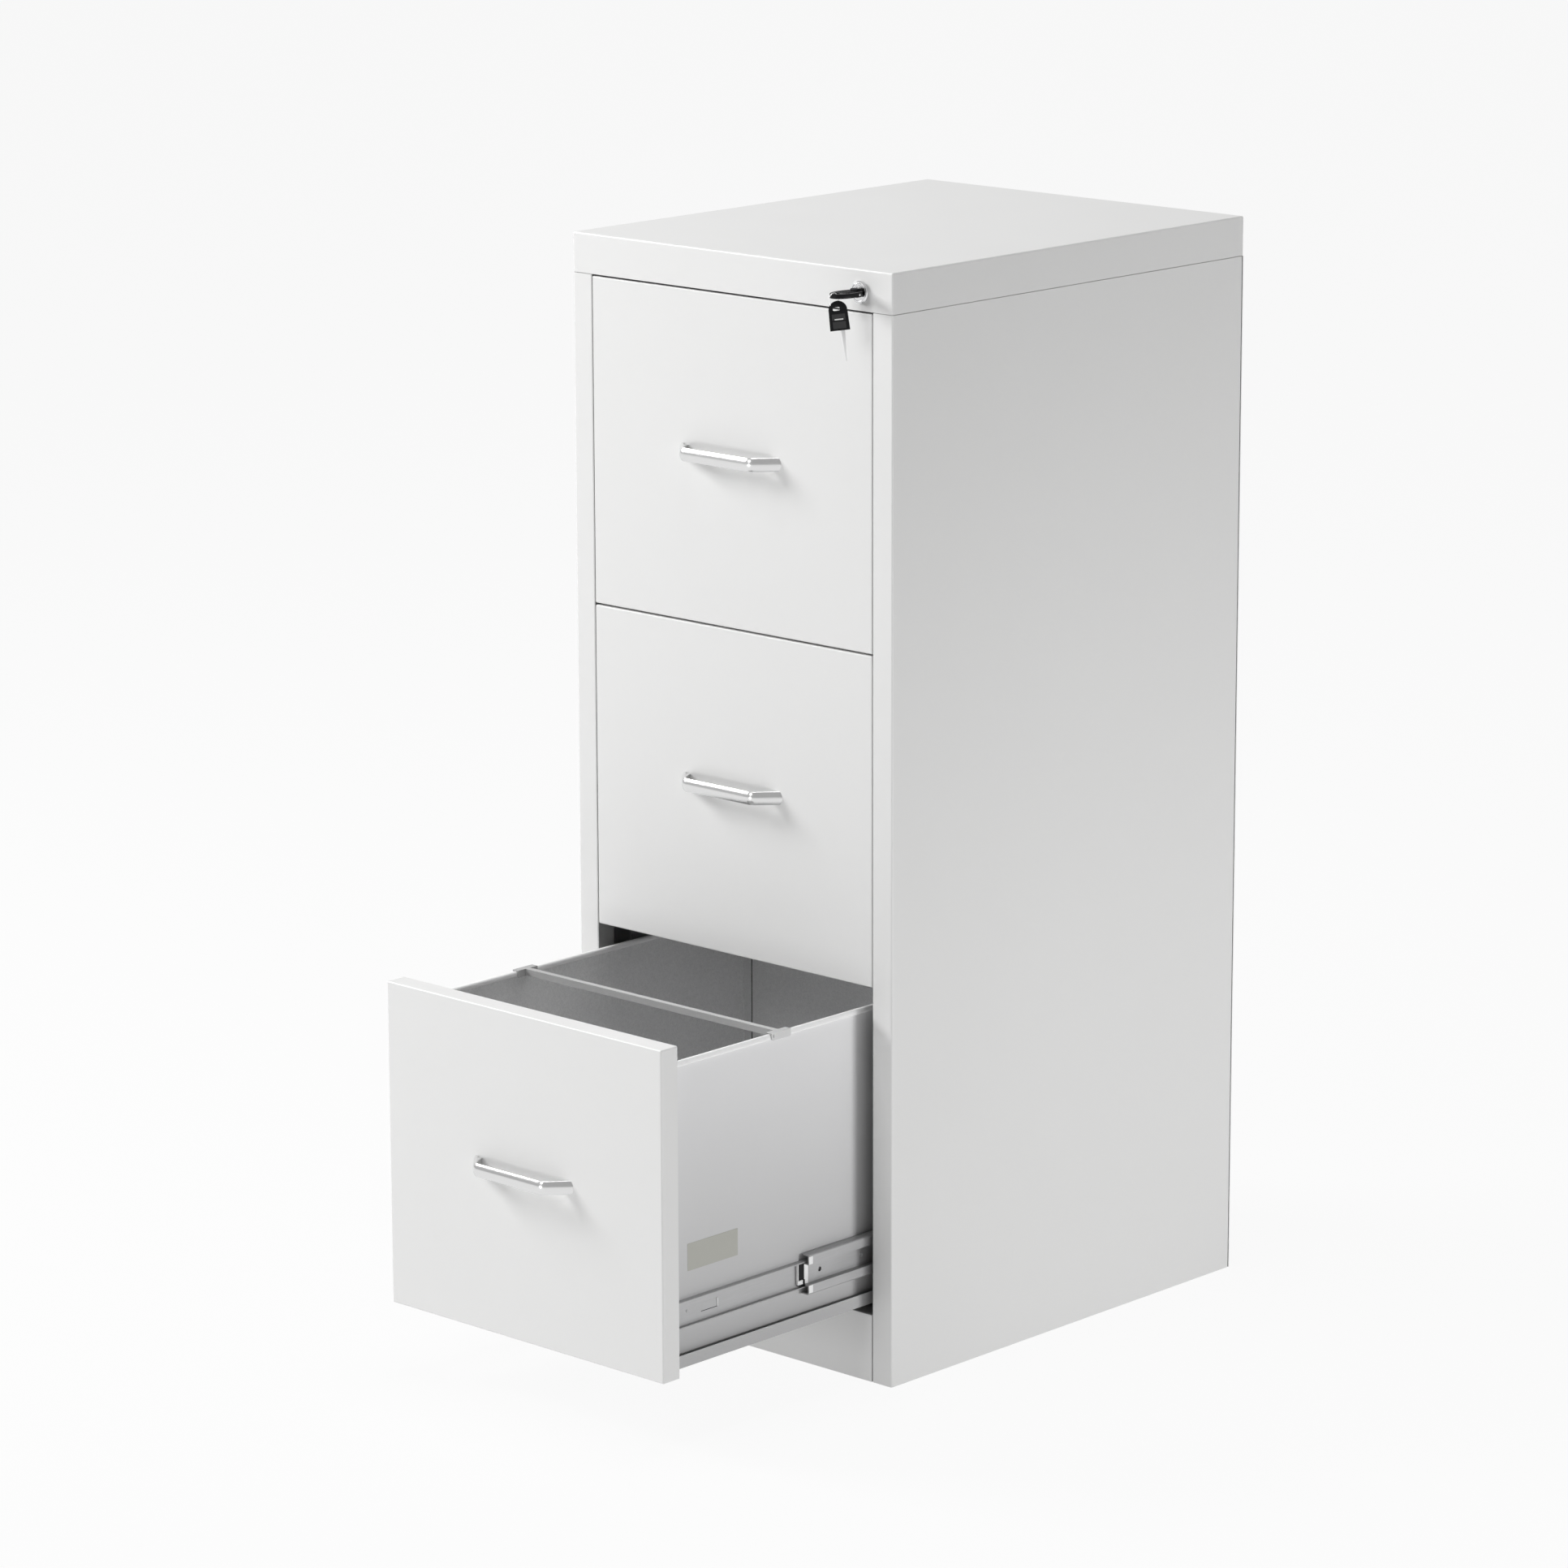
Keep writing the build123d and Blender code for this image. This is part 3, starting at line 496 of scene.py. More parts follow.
class Bench:
    """The modelling tools, used as by hand: one piece is on the bench at a time."""

    @staticmethod
    def clear() -> None:
        """Leave edit mode and deselect everything."""
        if bpy.context.object and bpy.context.object.mode != "OBJECT":
            bpy.ops.object.mode_set(mode="OBJECT")
        bpy.ops.object.select_all(action="DESELECT")

    @staticmethod
    def take(piece: Piece) -> None:
        """Select one piece and make it active."""
        Bench.clear()
        piece.select_set(True)
        bpy.context.view_layer.objects.active = piece

    @staticmethod
    def block(name: str, x: Pair, y: Pair, z: Pair) -> Piece:
        """Add a block between its two ends in X, in Y and in Z, at the origin with its place in its mesh."""
        Bench.clear()
        ends = (x, y, z)
        bpy.ops.mesh.primitive_cube_add(size=1.0, location=[(a + b) / 2 for a, b in ends])
        bpy.context.object.scale = [b - a for a, b in ends]
        return Bench.settle(bpy.context.object, name)

    @staticmethod
    def bar(
        name: str, middle: Point, turn: Sequence[float], radius: float, depth: float, sides: int,
        scale: Point = (1.0, 1.0, 1.0),
    ) -> Piece:
        """Add a round bar with an Euler turn from upright and a stretch along each axis."""
        Bench.clear()
        bpy.ops.mesh.primitive_cylinder_add(
            vertices=sides, radius=radius, depth=depth, location=middle, rotation=turn
        )
        bpy.context.object.scale = scale
        return Bench.settle(bpy.context.object, name)

    @staticmethod
    def disc(name: str, middle: Point, axis: Point, radius: float, depth: float, sides: int) -> Piece:
        """Add a round bar whose axis runs along a direction."""
        turn = Vector(axis).to_track_quat("Z", "Y").to_euler()
        return Bench.bar(name, middle, turn, radius, depth, sides)

    @staticmethod
    def hoop(name: str, middle: Point, turn: Point, radius: float, wire: float, steps: Pair) -> Piece:
        """Add a ring of round wire, turned from lying flat, with its steps round the ring and the wire."""
        Bench.clear()
        bpy.ops.mesh.primitive_torus_add(
            major_segments=steps[0], minor_segments=steps[1], major_radius=radius, minor_radius=wire,
            location=middle, rotation=turn,
        )
        return Bench.settle(bpy.context.object, name)

    @staticmethod
    def settle(piece: Piece, name: str) -> Piece:
        """Name a piece and apply its place, turn and size to its mesh."""
        Bench.take(piece)
        bpy.ops.object.transform_apply(location=True, rotation=True, scale=True)
        piece.name = name
        piece.data.name = name
        return piece

    @staticmethod
    @contextmanager
    def editing(piece: Piece, chosen: Test | None = None) -> Iterator[None]:
        """Open a piece in edit mode, with all of it selected or only the faces that a test picks."""
        Bench.take(piece)
        bpy.ops.object.mode_set(mode="EDIT")
        bpy.ops.mesh.select_mode(type="FACE")
        bpy.ops.mesh.select_all(action="DESELECT" if chosen else "SELECT")
        if chosen:
            bpy.ops.object.mode_set(mode="OBJECT")
            for face in piece.data.polygons:
                face.select = chosen(face.center, face.normal)
            bpy.ops.object.mode_set(mode="EDIT")
        yield
        bpy.ops.object.mode_set(mode="OBJECT")

    @staticmethod
    def sink(piece: Piece, chosen: Test, rim: float, move: Point | None = None) -> Piece:
        """Inset the chosen faces by a rim and push them in or out."""
        with Bench.editing(piece, chosen):
            bpy.ops.mesh.inset(thickness=rim)
            if move:
                bpy.ops.transform.translate(value=move)
        return piece

    @staticmethod
    def resize(piece: Piece, share: Point, chosen: Test | None = None, about: Point | None = None) -> Piece:
        """Flatten or stretch a whole piece or its chosen faces, about a point or about their middle."""
        pivot = {"center_override": about} if about else {}
        with Bench.editing(piece, chosen):
            bpy.ops.transform.resize(value=share, **pivot)
        return piece

    @staticmethod
    def smooth(piece: Piece, angle: float) -> Piece:
        """Smooth a piece except at edges sharper than an angle in degrees."""
        Bench.take(piece)
        bpy.ops.object.shade_smooth_by_angle(angle=math.radians(angle))
        return piece

    @staticmethod
    def bevel(piece: Piece, width: float, steps: int = 2, angle: float = 35.0, flat: bool = False) -> Piece:
        """Round a piece's sharp edges with an applied modifier and smooth it.

        Args:
            piece: The mesh object.
            width: The bevel's width.
            steps: The bevel's steps.
            angle: Edges sharper than this are rounded, in degrees.
            flat: Whether the faces stay flat, as on a thin strip.

        Returns:
            The same piece.
        """
        Bench.take(piece)
        rounding = piece.modifiers.new("Rounding", "BEVEL")
        rounding.width = width
        rounding.segments = steps
        rounding.limit_method = "ANGLE"
        rounding.angle_limit = math.radians(angle)
        bpy.ops.object.modifier_apply(modifier=rounding.name)
        if flat:
            bpy.ops.object.shade_flat()
            return piece
        return Bench.smooth(piece, 40.0)

    @staticmethod
    def copy(piece: Piece, name: str, move: Point, flip: bool = False) -> Piece:
        """Copy a piece with its own mesh to another place, or mirrored in X.

        Args:
            piece: The piece to repeat.
            name: The copy's name.
            move: How far the copy is moved.
            flip: Whether the copy is mirrored across the cabinet's middle first.

        Returns:
            The copy.
        """
        twin = piece.copy()
        twin.data = piece.data.copy()
        bpy.context.scene.collection.objects.link(twin)
        change = Matrix.Translation(Vector(move))
        if flip:
            change = change @ Matrix.Scale(-1.0, 4, Vector((1.0, 0.0, 0.0)))
        twin.data.transform(change)
        twin.name = name
        twin.data.name = name
        if flip:
            Bench.outward(twin)
        return twin

    @staticmethod
    def outward(piece: Piece) -> None:
        """Turn a closed piece's normals outwards."""
        with Bench.editing(piece):
            bpy.ops.mesh.normals_make_consistent(inside=False)

    @staticmethod
    def join(pieces: Sequence[Piece], name: str) -> Piece:
        """Join pieces into the first of them, under a new name."""
        Bench.clear()
        for piece in pieces:
            piece.select_set(True)
        bpy.context.view_layer.objects.active = pieces[0]
        if len(pieces) > 1:
            bpy.ops.object.join()
        piece = bpy.context.object
        piece.name = name
        piece.data.name = name
        return piece

    @staticmethod
    def hand_over(piece: Piece, material: Material, body: str, slot: str) -> None:
        """Dress a finished piece and let it ride on its body."""
        dress(piece, material)
        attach(piece, body)
        LOG.info("%s rides on %s with %d faces", piece.name, body, len(piece.data.polygons))


@dataclass
class Shell:
    """The cabinet's outer sheet metal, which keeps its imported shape."""

    finishes: Finishes
    nodes: Nodes

    def build(self) -> None:
        """Paint the shell and the uprights."""
        panels = ("top_cover", "left_side_panel", "right_side_panel", "back_panel", "base_pan", "kick_plate")
        for name in panels:
            dress(self.nodes[name], self.finishes.shell)
        dress(self.nodes["slide_uprights"], self.finishes.upright)
        for side in Side:
            dress(self.nodes[f"{side.word}_cabinet_rails"], self.finishes.rail)
        LOG.info("shell dressed")


@dataclass
class Drawer:
    """One drawer: its front, body, handle and cross bar."""

    level: Level
    finishes: Finishes
    nodes: Nodes
    seam: float = 0.0008
    shade_strip_foot: float = 0.0020
    shade_strip_drop: float = 0.0060

    def build(self) -> None:
        """Dress the drawer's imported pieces."""
        word = self.level.value
        dress(self.nodes[f"{word}_drawer_front"], self.finishes.front)
        for part in ("liner", "left_wall", "right_wall", "back", "pan"):
            dress(self.nodes[f"{word}_drawer_{part}"], self.finishes.body[self.level])
        dress(self.nodes[f"{word}_file_bar"], self.finishes.bar)
        dress(self.nodes[f"{word}_handle"], self.finishes.handle)
        dress(self.nodes[f"{word}_handle_screws"], self.finishes.steel)
        self.seams()
        LOG.info("%s drawer dressed", word)

    def seams(self) -> None:
        """Dark strips in the two rear corners inside the body: painted shade along the corners."""
        word = self.level.value
        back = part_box(f"{word}_drawer_back")[0]
        for side in Side:
            low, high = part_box(f"{word}_drawer_{side.word}_wall")
            face = high.x if side is Side.LEFT else low.x
            # Painted shade: a dark strip along the corner.
            strip = Bench.block(
                f"{word}_{side.word}_corner_seam",
                tuple(sorted((face + side.value * SET_IN, face - side.value * self.seam))),
                (back.y - self.seam, back.y + SET_IN),
                (back.z + self.shade_strip_foot, high.z - self.shade_strip_drop),
            )
            Bench.bevel(strip, self.seam * 0.4)
            Bench.hand_over(strip, self.finishes.seam, f"{word}_drawer", "grey_enamel")


@dataclass(frozen=True)
class Seat:
    """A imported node, named without its level, and the body that its fittings move with."""

    node: str
    body: str


@dataclass(frozen=True)
class Plate:
    """A thin plate on a rail's web.

    It reaches from one length to another behind the rail's front end, and from one height to
    another above the slide's middle.
    """

    thick: float
    y: Pair
    z: Pair

    def make(self, name: str, web: float, front: float, middle: float) -> Piece:
        """Add the plate as a block on the web."""
        return Bench.block(name, (web, web + self.thick), shift(self.y, front), shift(self.z, middle))


@dataclass(frozen=True)
class Mouth:
    """The black retainer in front of a centre rail and its frame, whose brightness is a painted highlight.

    The face is the retainer's inner side, next to the drawer rail. Rises are counted from its
    outer side, lengths from the centre rail's front end and heights from the slide's middle.
    """

    face: float
    rail: float
    middle: float
    thick: float = 0.0021
    length: float = 0.0084
    lap: float = 0.0004
    low: float = -0.0046
    high: float = 0.0112
    rim: float = 0.0008
    hollow: float = 0.0007
    sole: float = -0.0104
    toe_rise: float = 0.0003
    toe_in: float = 0.0012
    toe_gap: float = 0.0020
    hook_rise: float = 0.0010
    hook: Pair = (-0.0016, -0.0004)
    wire: float = 0.0010
    wire_out: float = 0.4
    post_rise: float = 0.0004
    beam_rise: float = 0.0006
    tooth: float = 0.0042
    tooth_out: float = 0.0002
    tooth_gap: float = 0.0024
    tooth_rim: float = 0.0009
    tooth_hollow: float = 0.0008

    @property
    def y(self) -> Pair:
        """The retainer's front end and its rear end over the rail."""
        return self.rail - self.length, self.rail + self.lap

    @property
    def z(self) -> Pair:
        """The retainer's lower and upper edge."""
        return self.middle + self.low, self.middle + self.high

    def plate(self, name: str, rise: float, y: Pair, z: Pair) -> Piece:
        """Add a block that stands out from the retainer's inner side."""
        return Bench.block(name, (self.face, self.face + self.thick + rise), y, z)

    def retainer(self) -> Piece:
        """The black body with a hollow face, its toe and its hook."""
        (front, back), (bottom, top) = self.y, self.z
        sole = self.middle + self.sole
        body = self.plate("mouth", 0.0, (front, back), (bottom, top))
        Bench.sink(body, facing(1, 0, 0), self.rim, (-self.hollow, 0, 0))
        toe_y = (front + self.toe_in, back - self.toe_gap)
        toe = self.plate("toe", self.toe_rise, toe_y, (sole, bottom - self.tooth))
        hook = self.plate("hook", self.hook_rise, shift(self.hook, back), (sole, bottom))
        parts = [Bench.bevel(part, width) for part, width in ((body, 0.0002), (toe, 0.0003), (hook, 0.0002))]
        return Bench.join(parts, "mouth")

    def frame(self) -> Piece:
        """The post, beam and tooth round the retainer, coloured bright as a painted highlight."""
        (front, back), (bottom, top) = self.y, self.z
        nose = front + self.wire * (1 - self.wire_out)
        post = self.plate(
            "post", self.post_rise, (front - self.wire * self.wire_out, nose), (bottom, top + self.wire)
        )
        beam = self.plate("beam", self.beam_rise, (nose, back), (top, top + self.wire))
        tooth_y = (front - self.tooth_out, back - self.tooth_gap)
        tooth = self.plate(
            "tooth", self.post_rise, tooth_y, (bottom - self.tooth, bottom - self.tooth_out)
        )
        Bench.sink(tooth, facing(1, 0, 0), self.tooth_rim, (-self.tooth_hollow, 0, 0))
        return Bench.join([Bench.bevel(piece, 0.0002) for piece in (post, beam, tooth)], "mouth_frame")


@dataclass
class Slides:
    """All six ball-bearing slides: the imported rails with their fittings.

    Each fitting is modelled once, on the lower drawer's right-hand slide, and copied to the others.
    """

    finishes: Finishes
    nodes: Nodes
    drawer_rail: Seat = Seat("right_drawer_rail", "drawer")
    centre_rail: Seat = Seat("right_centre_rail", "centre_rails")
    sheet: float = 0.0012
    rivet_radius: float = 0.0034
    rivet_height: float = 0.0009
    rivet_places: tuple[float, ...] = (0.175, 0.300, 0.425)
    pip_place: float = 0.020
    pip_rise: float = 0.0010
    pip_radius: float = 0.0013
    pip_height: float = 0.0005
    tongue: Plate = Plate(0.0002, (0.0385, 0.0582), (-0.0032, 0.0044))
    nick: Plate = Plate(0.0009, (0.0580, 0.0590), (-0.0032, 0.0046))
    slit_shade: Plate = Plate(0.00016, (0.0380, 0.0590), (-0.0038, -0.0032))
    lip_width: float = 0.0050
    lip_rise: float = 0.0004
    step: float = 0.0095
    web_depth: float = 0.0028
    edge: float = 0.0018
    fixing: float = 0.0756
    mouth_play: float = 0.0003
    ring_radius: float = 0.0021
    ring_wire: float = 0.0004
    ball_count: int = 9
    ball_play: float = 0.00005
    inner_row: float = 0.0026
    outer_row: float = 0.0024
    cage_end: float = 0.0085
    screw_front: float = 0.040
    screw_rear: float = 0.045
    screw_radius: float = 0.0034

    def build(self) -> None:
        """Dress the rails and cages and add every fitting."""
        for level in Level:
            for side in Side:
                for part in ("drawer_rail", "centre_rail"):
                    dress(self.nodes[f"{level.value}_{side.word}_{part}"], self.finishes.rail)
            for row in ("inner", "outer"):
                dress(self.nodes[f"{level.value}_{row}_ball_cages"], self.finishes.cage)
        self.drawer_fittings()
        self.rail_mouth()
        self.rail_end()
        for row in ("inner", "outer"):
            self.balls(row)
        self.wall_screws()

    def repeat(self, master: Piece, part: str, seat: Seat, material: Material, slot: str) -> None:
        """Hand over a master piece's six copies and throw the master away.

        Args:
            master: The piece on the lower drawer's right-hand slide.
            part: The piece's own name.
            seat: What it sits on and moves with.
            material: Its finish.
            slot: Not used.
        """
        node, body = seat.node, seat.body
        fixed = body == "cabinet"
        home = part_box(f"lower_{node}")[0]
        for level in Level:
            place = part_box(f"{level.value}_{node}")[0]
            move = (0.0, 0.0 if fixed else place.y - home.y, place.z - home.z)
            for side in Side:
                name = f"{level.value}_{side.word}_{part}"
                twin = Bench.copy(master, name, move, flip=side is Side.LEFT)
                Bench.hand_over(twin, material, body if fixed else f"{level.value}_{body}", slot)
        bpy.data.objects.remove(master)

    def rivet(self, x: float, y: float, z: float, radius: float, height: float) -> Piece:
        """A domed rivet head that stands out from a web."""
        head = Bench.disc("rivet", (x + height / 2, y, z), (1, 0, 0), radius, height, 20)
        Bench.sink(head, facing(1, 0, 0), radius * 0.4, (height * 0.4, 0, 0))
        return Bench.bevel(head, height * 0.3)

    def drawer_fittings(self) -> None:
        """Rivets along the drawer rail, with the lanced tongue near its front end."""
        low, _, middle = span(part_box("lower_right_drawer_rail"))
        web = low.x + self.sheet - SET_IN
        pip_y, pip_z = low.y + self.pip_place, middle + self.pip_rise
        pieces = [self.rivet(web, pip_y, pip_z, self.pip_radius, self.pip_height)]
        for place in self.rivet_places:
            pieces.append(self.rivet(web, low.y + place, middle, self.rivet_radius, self.rivet_height))
        tongue = self.tongue.make("tongue", web, low.y, middle)
        Bench.resize(tongue, (0.75, 1.0, 1.0), facing(0, -1, 0), (web, low.y, middle))
        pieces.append(Bench.bevel(tongue, 0.00008, 1, flat=True))
        fittings = Bench.join(pieces, "rail_fittings")
        self.repeat(fittings, "rail_fittings", self.drawer_rail, self.finishes.rail, "rail_steel")
        for plate, part, bevel, finish, slot in (
            # Painted highlight: a bright bar along the tongue's cut edge.
            (self.nick, "tongue_edge", 0.0001, self.finishes.painted_highlight, "rail_steel"),
            # Painted shade: a black strip in the slit under the tongue.
            (self.slit_shade, "tongue_slit_shade", 0.00005, self.finishes.black, "cage_plastic"),
        ):
            piece = Bench.bevel(plate.make(part, web, low.y, middle), bevel, 1, flat=True)
            self.repeat(piece, part, self.drawer_rail, finish, slot)

    def rail_mouth(self) -> None:
        """Black retainer in front of the centre rail, in a bright frame."""
        low, _, middle = span(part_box("lower_right_centre_rail"))
        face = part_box("lower_right_drawer_rail")[0].x + self.sheet + self.mouth_play
        mouth = Mouth(face, low.y, middle)
        self.repeat(mouth.retainer(), "retainer", self.centre_rail, self.finishes.black, "cage_plastic")
        # The frame's near-white finish is a painted highlight.
        self.repeat(mouth.frame(), "retainer_frame", self.centre_rail, self.finishes.painted_highlight, "rail_steel")

    def rail_end(self) -> None:
        """Bands on the centre rail's front end, tapered at the front and coloured near white as a painted
        highlight, and the ring pressed round its second fixing.
        """
        low, high, middle = span(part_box("lower_right_centre_rail"))
        half = (high.z - low.z) / 2
        web = low.x + self.web_depth
        bands = []
        for x, bottom, top in (
            (web, middle - self.step + 0.0003, middle + self.step - 0.0002),
            (high.x, middle + self.step + 0.0004, middle + half - self.edge),
            (high.x, middle - half + self.edge, middle - self.step - 0.0004),
        ):
            band = Bench.block(
                "band", (x - SET_IN, x + self.lip_rise), (low.y, low.y + self.lip_width), (bottom, top)
            )
            Bench.resize(band, (0.3, 1.0, 1.0), facing(0, -1, 0), (x - SET_IN, low.y, middle))
            bands.append(Bench.bevel(band, 0.00008, 1, flat=True))
        piece = Bench.join(bands, "rail_end")
        # Painted highlight: the bands are coloured near white.
        self.repeat(piece, "rail_end", self.centre_rail, self.finishes.painted_highlight, "rail_steel")
        place, turn = (web, low.y + self.fixing, middle), (0.0, math.pi / 2, 0.0)
        ring = Bench.hoop("ring", place, turn, self.ring_radius, self.ring_wire, (24, 8))
        Bench.smooth(Bench.resize(ring, (0.7, 1.0, 1.0)), 50.0)
        self.repeat(ring, "pressed_ring", self.centre_rail, self.finishes.rail, "rail_steel")

    def balls(self, row: str) -> None:
        """Rows of balls in the gaps above and below the "inner" or "outer" cage."""
        low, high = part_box(f"lower_{row}_ball_cages")
        inside, outside, middle = span(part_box("lower_right_centre_rail"))
        reach = (outside.z - inside.z) / 2
        if row == "inner":
            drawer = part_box("lower_right_drawer_rail")
            floor, roof = (drawer[1].z - drawer[0].z) / 2, reach - self.sheet
            x = inside.x + self.inner_row
        else:
            floor, roof = reach, abs(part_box("right_cabinet_rails")[0].z - middle) - self.sheet
            x = high.x - self.outer_row
        radius = (roof - floor) / 2 - self.ball_play
        length = high.y - low.y - 2 * self.cage_end
        pieces = []
        for sign in (-1, 1):
            for number in range(self.ball_count):
                Bench.clear()
                place = low.y + self.cage_end + length * number / (self.ball_count - 1)
                bpy.ops.mesh.primitive_ico_sphere_add(
                    subdivisions=2, radius=radius, location=(x, place, middle + sign * (floor + roof) / 2)
                )
                pieces.append(Bench.settle(bpy.context.object, "ball"))
        piece = Bench.join(pieces, "balls")
        bpy.ops.object.shade_smooth()
        seat = Seat(f"{row}_ball_cages", f"{row}_cages")
        self.repeat(piece, f"{row}_balls", seat, self.finishes.ball, "bare_steel")

    def wall_screws(self) -> None:
        """Screw heads inside the cabinet rails, in line with the uprights."""
        low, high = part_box("right_cabinet_rails")
        web = high.x - self.sheet
        middle = span(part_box("lower_right_centre_rail"))[2]
        heads = []
        for y in (low.y + self.screw_front, high.y - self.screw_rear):
            head = Bench.disc("screw", (web - 0.0004, y, middle), (-1, 0, 0), self.screw_radius, 0.0009, 20)
            Bench.sink(head, facing(-1, 0, 0), 0.0020, (0.0005, 0, 0))
            heads.append(Bench.bevel(head, 0.0002))
        master = Bench.join(heads, "screws")
        seat = Seat(self.centre_rail.node, "cabinet")
        self.repeat(master, "rail_screws", seat, self.finishes.steel, "bare_steel")


@dataclass
class Label:
    """Blank sticker on the lower drawer's right wall."""

    finishes: Finishes
    front: float = -0.4716
    length: float = 0.0642
    foot: float = 0.1572
    height: float = 0.0250
    paper: float = 0.00025
    glue: float = 0.00005
    border: float = 0.0009

    def build(self) -> None:
        """Stick the label on."""
        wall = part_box("lower_right_drawer_rail")[0].x
        label = Bench.block(
            "lower_blank_label",
            (wall - self.glue, wall + self.paper),
            (self.front, self.front + self.length),
            (self.foot, self.foot + self.height),
        )
        Bench.sink(label, facing(1, 0, 0), self.border, (-self.paper * 0.3, 0, 0))
        Bench.bevel(label, self.paper * 0.3, 1, flat=True)
        Bench.hand_over(label, self.finishes.label, "lower_drawer", "grey_enamel")


def pierce(piece: Piece, cutter: Piece) -> None:
    """Cut one piece out of another and throw the cutter away."""
    Bench.take(piece)
    cut = piece.modifiers.new("Cut", "BOOLEAN")
    cut.operation = "DIFFERENCE"
    cut.solver = "EXACT"
    cut.object = cutter
    bpy.ops.object.modifier_apply(modifier=cut.name)
    bpy.data.objects.remove(cutter)


@dataclass
class SpareKey:
    """The spare key, modelled facing the front and then hung from its eye.

    Its lengths across are counted from its middle line, which is to the right of the eye. Its
    heights are counted from the foot of its round top, or from the head's lower edge.
    """

    finishes: Finishes
    y: float
    eye: Vector
    right: float = 0.0014
    drop: float = 0.0013
    half: float = 0.0082
    thick: float = 0.0030
    straight: float = 0.0177
    flare: float = 1.06
    slot: Pair = (0.0031, 0.0017)
    slot_round: float = 0.0010
    border: float = 0.0022
    sunk: float = 0.0004
    recess_foot: float = 0.0014
    recess_top: float = 0.0030
    step: Pair = (-0.0098, -0.0088)
    panel: Pair = (0.0002, 0.0008)
    panel_rim: float = 0.0003
    mark: Pair = (-0.0084, -0.0073)
    mark_half: float = 0.0038
    blade: Pair = (0.0002, 0.0042)
    blade_half: float = 0.0006
    blade_length: float = 0.0275
    blade_root: float = 0.0010
    tip_share: float = 0.35
    turn: float = 39.8
    tilt: float = 6.6

    def __post_init__(self) -> None:
        """Work out the middle line, the head's heights and its front face."""
        self.mid = self.eye.x + self.right
        self.arch = self.eye.z - self.drop
        self.bottom = self.arch - self.straight
        self.face = self.y - self.thick / 2

    def across(self, margin: float) -> Pair:
        """The head's width, less a margin at each side."""
        return self.mid - self.half + margin, self.mid + self.half - margin

    def head(self) -> Piece:
        """Round top on a flared plate, with the slot, a recess and a step across it."""
        y, mid, arch, bottom, face = self.y, self.mid, self.arch, self.bottom, self.face
        turn = (math.pi / 2, 0.0, 0.0)
        head = Bench.bar("spare_key_head", (mid, y, arch), turn, self.half, self.thick, 48)
        with Bench.editing(head):
            bpy.ops.mesh.bisect(plane_co=(mid, y, arch), plane_no=(0, 0, -1), use_fill=True, clear_outer=True)
            bpy.ops.mesh.extrude_region_move(TRANSFORM_OT_translate={"value": (0.0, 0.0, bottom - arch)})
            bpy.ops.transform.resize(value=(self.flare, 1.0, 1.0), center_override=(mid, y, bottom))
        wide, tall = self.slot
        slot = Bench.block("slot", around(self.eye.x, wide), around(y, CUT_REACH), around(self.eye.z, tall))
        pierce(head, Bench.bevel(slot, self.slot_round, 3))
        recess_z = (bottom + self.recess_foot, arch - self.recess_top)
        recess = Bench.block("recess", self.across(self.border), (y - CUT_REACH, face + self.sunk), recess_z)
        pierce(head, recess)
        Bench.bevel(head, 0.0003, 2, 40)
        width = self.across(self.border + SET_IN)
        step = Bench.block("step", width, (face, face + self.sunk), shift(self.step, arch))
        return Bench.join([head, Bench.bevel(step, 0.0001)], "spare_key_head")

    def inlay(self) -> Piece:
        """Matt panel in the head's recess."""
        height = (self.bottom + self.recess_foot + SET_IN, self.arch - self.recess_top - SET_IN)
        depth = shift(self.panel, self.face)
        panel = Bench.block("spare_key_panel", self.across(self.border + SET_IN), depth, height)
        return Bench.bevel(Bench.sink(panel, facing(0, -1, 0), self.panel_rim), 0.0001, 1, flat=True)

    def stripe(self) -> Piece:
        """Pale mark across the panel."""
        depth = (self.face - SET_IN, self.face + self.sunk)
        height = shift(self.mark, self.arch)
        mark = Bench.block("spare_key_mark", around(self.mid, self.mark_half), depth, height)
        return Bench.bevel(mark, 0.00008, 1, flat=True)

    def shank(self) -> Piece:
        """Blade with its pointed tip."""
        height = (self.bottom - self.blade_length, self.bottom + self.blade_root)
        blade = Bench.block(
            "spare_key_blade", shift(self.blade, self.mid), around(self.y, self.blade_half), height
        )
        return Bench.bevel(Bench.resize(blade, (self.tip_share, 1.0, 1.0), facing(0, 0, -1)), 0.0003)

    def build(self) -> None:
        """Model the pieces, turn them towards the front right and hang them up."""
        hang = Matrix.Translation(self.eye) @ Matrix.Rotation(math.radians(self.turn), 4, "Z")
        hang = hang @ Matrix.Rotation(math.radians(-self.tilt), 4, "Y") @ Matrix.Translation(-self.eye)
        for piece, finish, slot in (
            (self.head(), self.finishes.black, "key_plastic"),
            (self.inlay(), self.finishes.matt, "key_plastic"),
            (self.stripe(), self.finishes.white, "key_plastic"),
            (self.shank(), self.finishes.blade, "bare_steel"),
        ):
            piece.data.transform(hang)
            Bench.hand_over(piece, finish, "lock_cylinder", slot)


@dataclass(frozen=True)
class Dot:
    """A white pivot on the key, placed from the middle of the key head's base."""

    place: Point
    axis: Point
    radius: float
    height: float

    def make(self, base: Point) -> Piece:
        """Add the pivot as a short post."""
        middle = tuple(a + b for a, b in zip(base, self.place))
        return Bench.bevel(Bench.disc("dot", middle, self.axis, self.radius, self.height, 16), 0.0003)


